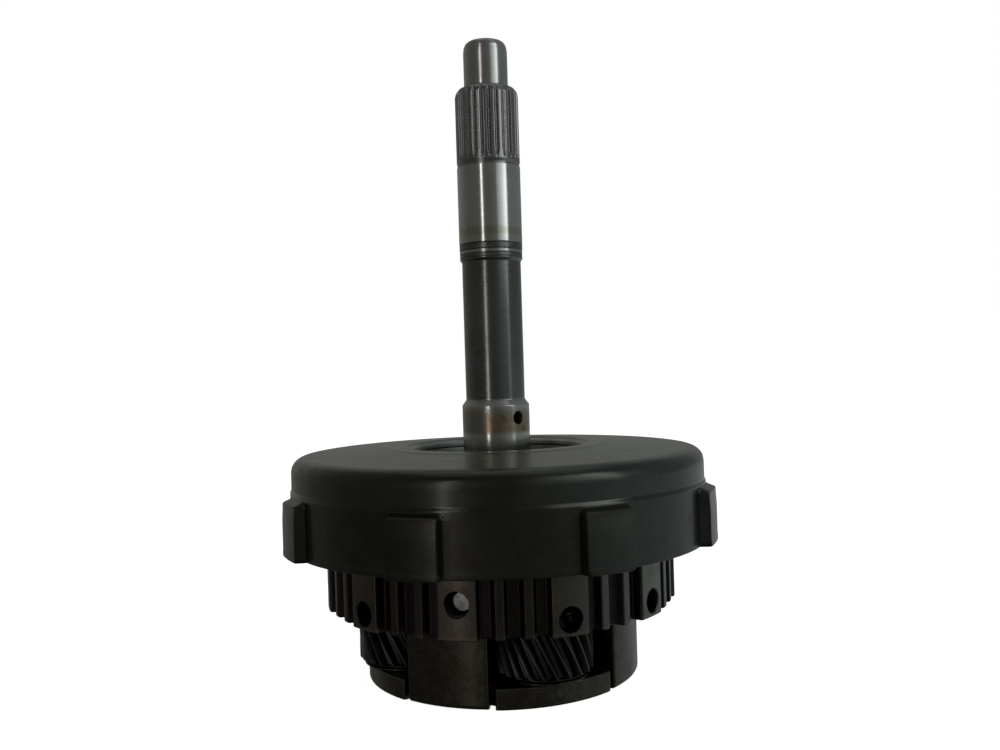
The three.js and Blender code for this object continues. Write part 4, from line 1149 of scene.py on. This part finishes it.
use(make_shaft(), "input_shaft", "shaft", "shaft_steel")
use(open_ring("shaft_seal_ring_upper_cut", 10.9, 12.15, 160.55, 162.83, 122, 480.5, 0.22, 3), "shaft_seal_ring_upper", "shaft", "seal_ring")
use(open_ring("shaft_seal_ring_lower_cut", 10.9, 12.05, 157.55, 159.04, 172, 530.5, 0.18, 3), "shaft_seal_ring_lower", "shaft", "seal_ring")
use(open_ring("sun_snap_ring_wire", 10.4, 12.6, 7.85, 9.05, 12, 348, 0.25, 3), "sun_snap_ring", "shaft", "bearing_steel")


# ------------------------------------------------------------------ stage
def floor():
    me = bpy.data.meshes.new("floor")
    s = 6.0
    me.from_pydata([(-s, -s, 0), (s, -s, 0), (s, s, 0), (-s, s, 0)], [], [(0, 1, 2, 3)])
    ob = bpy.data.objects.new("floor", me)
    bpy.context.scene.collection.objects.link(ob)
    m = bpy.data.materials.new("floor_paper")
    m.use_nodes = True
    b = m.node_tree.nodes["Principled BSDF"]
    b.inputs["Base Color"].default_value = (0.86, 0.86, 0.85, 1)
    b.inputs["Roughness"].default_value = 0.9
    b.inputs["Specular IOR Level"].default_value = 0.0
    b.inputs["Emission Color"].default_value = (1, 1, 1, 1)
    b.inputs["Emission Strength"].default_value = 0.93
    me.materials.append(m)
    ob.visible_glossy = False
    ob.visible_diffuse = False
    ob.visible_shadow = False
    return ob


floor()


def area(name, az, dist, z0, z1, width, radiance, color=(1, 1, 1), aim=0.12):
    """Upright panel of light at a plan angle, facing the axis."""
    L = bpy.data.lights.new(name, "AREA")
    L.shape = "RECTANGLE"
    L.size = width
    L.size_y = z1 - z0
    L.energy = radiance * 4 * width * (z1 - z0)
    L.color = color
    ob = bpy.data.objects.new(name, L)
    bpy.context.scene.collection.objects.link(ob)
    a = math.radians(az)
    pos = Vector((dist * math.sin(a), -dist * math.cos(a), (z0 + z1) / 2))
    ob.location = pos
    d = Vector((-pos.x, -pos.y, 0))
    ob.rotation_mode = "QUATERNION"
    ob.rotation_quaternion = d.to_track_quat("-Z", "Y")
    ob.visible_camera = False
    return ob


area("window_strip", -27, 1.0, -0.06, 0.80, 0.09, 2.4, (1.0, 0.99, 0.96))
area("window_strip_low", -27, 1.0, -0.42, -0.06, 0.09, 0.75, (1.0, 0.97, 0.92))
# one tall window whose light grows towards its far side
for k, (a0, a1, lum) in enumerate(((27, 33, 0.26), (33, 39, 0.40), (39, 45, 0.56), (45, 51, 0.80), (51, 57, 1.15), (57, 66, 1.50))):
    area(f"window_pane_{k + 1}", (a0 + a1) / 2, 1.1, 0.27, 1.1, 2 * 1.1 * math.tan(math.radians(a1 - a0) / 2), lum, (0.94, 1.0, 0.97))
area("door_edge", 62, 1.0, 0.0, 0.27, 0.04, 1.2, (0.95, 1.0, 0.98))

top = bpy.data.lights.new("ceiling_soft", "AREA")
top.shape = "RECTANGLE"
top.size, top.size_y = 1.4, 1.0
top.energy = 0.22 * 4 * 1.4
top.color = (0.97, 1.0, 0.98)
topo = bpy.data.objects.new("ceiling_soft", top)
bpy.context.scene.collection.objects.link(topo)
topo.location = (0.1, 0.1, 1.5)
topo.visible_camera = False


def world():
    w = bpy.data.worlds.new("room")
    bpy.context.scene.world = w
    w.use_nodes = True
    t = w.node_tree
    t.nodes.clear()
    out = t.nodes.new("ShaderNodeOutputWorld")
    tc = t.nodes.new("ShaderNodeTexCoord")

    def dot(v):
        n = t.nodes.new("ShaderNodeVectorMath")
        n.operation = "DOT_PRODUCT"
        t.links.new(tc.outputs["Generated"], n.inputs[0])
        n.inputs[1].default_value = v
        return n.outputs["Value"]

    def mapr(v, a, b, c, d):
        n = t.nodes.new("ShaderNodeMapRange")
        n.interpolation_type = "SMOOTHSTEP"
        t.links.new(v, n.inputs[0])
        for i, u in enumerate((a, b, c, d)):
            n.inputs[i + 1].default_value = u
        return n.outputs[0]

    def m(op, a, b):
        n = t.nodes.new("ShaderNodeMath")
        n.operation = op
        for i, u in enumerate((a, b)):
            if hasattr(u, "is_output"):
                t.links.new(u, n.inputs[i])
            else:
                n.inputs[i].default_value = u
        return n.outputs[0]

    side = mapr(dot((1, 0, 0)), -0.2, 0.8, 0.0, 1.0)
    back = mapr(dot((0, 1, 0)), -0.2, 0.9, 0.0, 1.0)
    level = m("ADD", m("ADD", 0.115, m("MULTIPLY", side, m("MULTIPLY", m("SUBTRACT", 1.0, back), 0.09))), m("MULTIPLY", back, 0.10))
    down = mapr(dot((0, 0, 1)), -0.45, 0.0, 0.45, 1.0)
    level = m("MULTIPLY", level, down)
    low = mapr(dot((0, 0, 1)), 0.02, -0.10, 0.0, 1.0)
    level = m("ADD", level, m("MULTIPLY", m("MULTIPLY", low, mapr(dot((0.92, 0.38, 0)), 0.1, 0.9, 0.0, 1.0)), 0.20))
    mix = t.nodes.new("ShaderNodeMix")
    mix.data_type = "RGBA"
    t.links.new(side, mix.inputs[0])
    mix.inputs[6].default_value = (1.0, 0.98, 0.90, 1)
    mix.inputs[7].default_value = (0.90, 1.0, 0.97, 1)
    dark = t.nodes.new("ShaderNodeBackground")
    t.links.new(mix.outputs[2], dark.inputs["Color"])
    t.links.new(level, dark.inputs["Strength"])
    white = t.nodes.new("ShaderNodeBackground")
    white.inputs["Color"].default_value = (1, 1, 1, 1)
    white.inputs["Strength"].default_value = 1.0
    lp = t.nodes.new("ShaderNodeLightPath")
    ms = t.nodes.new("ShaderNodeMixShader")
    t.links.new(lp.outputs["Is Camera Ray"], ms.inputs[0])
    t.links.new(dark.outputs[0], ms.inputs[1])
    t.links.new(white.outputs[0], ms.inputs[2])
    t.links.new(ms.outputs[0], out.inputs["Surface"])


world()


def camera():
    pitch, roll, yaw = 0.008237, 0.030738, 0.005716
    fwd = Vector((math.sin(yaw) * math.cos(pitch), math.cos(yaw) * math.cos(pitch), -math.sin(pitch)))
    right = Vector((math.cos(yaw), -math.sin(yaw), 0))
    down = fwd.cross(right)
    if down.z > 0:
        down = -down
    r = math.cos(roll) * right + math.sin(roll) * down
    d = -math.sin(roll) * right + math.cos(roll) * down
    cam = bpy.data.cameras.new("camera")
    cam.lens = 979.88 / 1000 * 36.0
    cam.sensor_width = 36.0
    cam.sensor_fit = "HORIZONTAL"
    cam.shift_x = -0.00045
    cam.clip_start, cam.clip_end = 0.01, 50
    ob = bpy.data.objects.new("camera", cam)
    bpy.context.scene.collection.objects.link(ob)
    m = Matrix.Identity(4)
    for k, v in enumerate((r, -d, -fwd)):
        for j in range(3):
            m[j][k] = v[j]
    m.translation = Vector((0, -0.37992, 0.11566))
    ob.matrix_world = m
    bpy.context.scene.camera = ob


camera()
bpy.context.scene.view_settings.view_transform = "Standard"
bpy.context.scene.view_settings.look = "None"
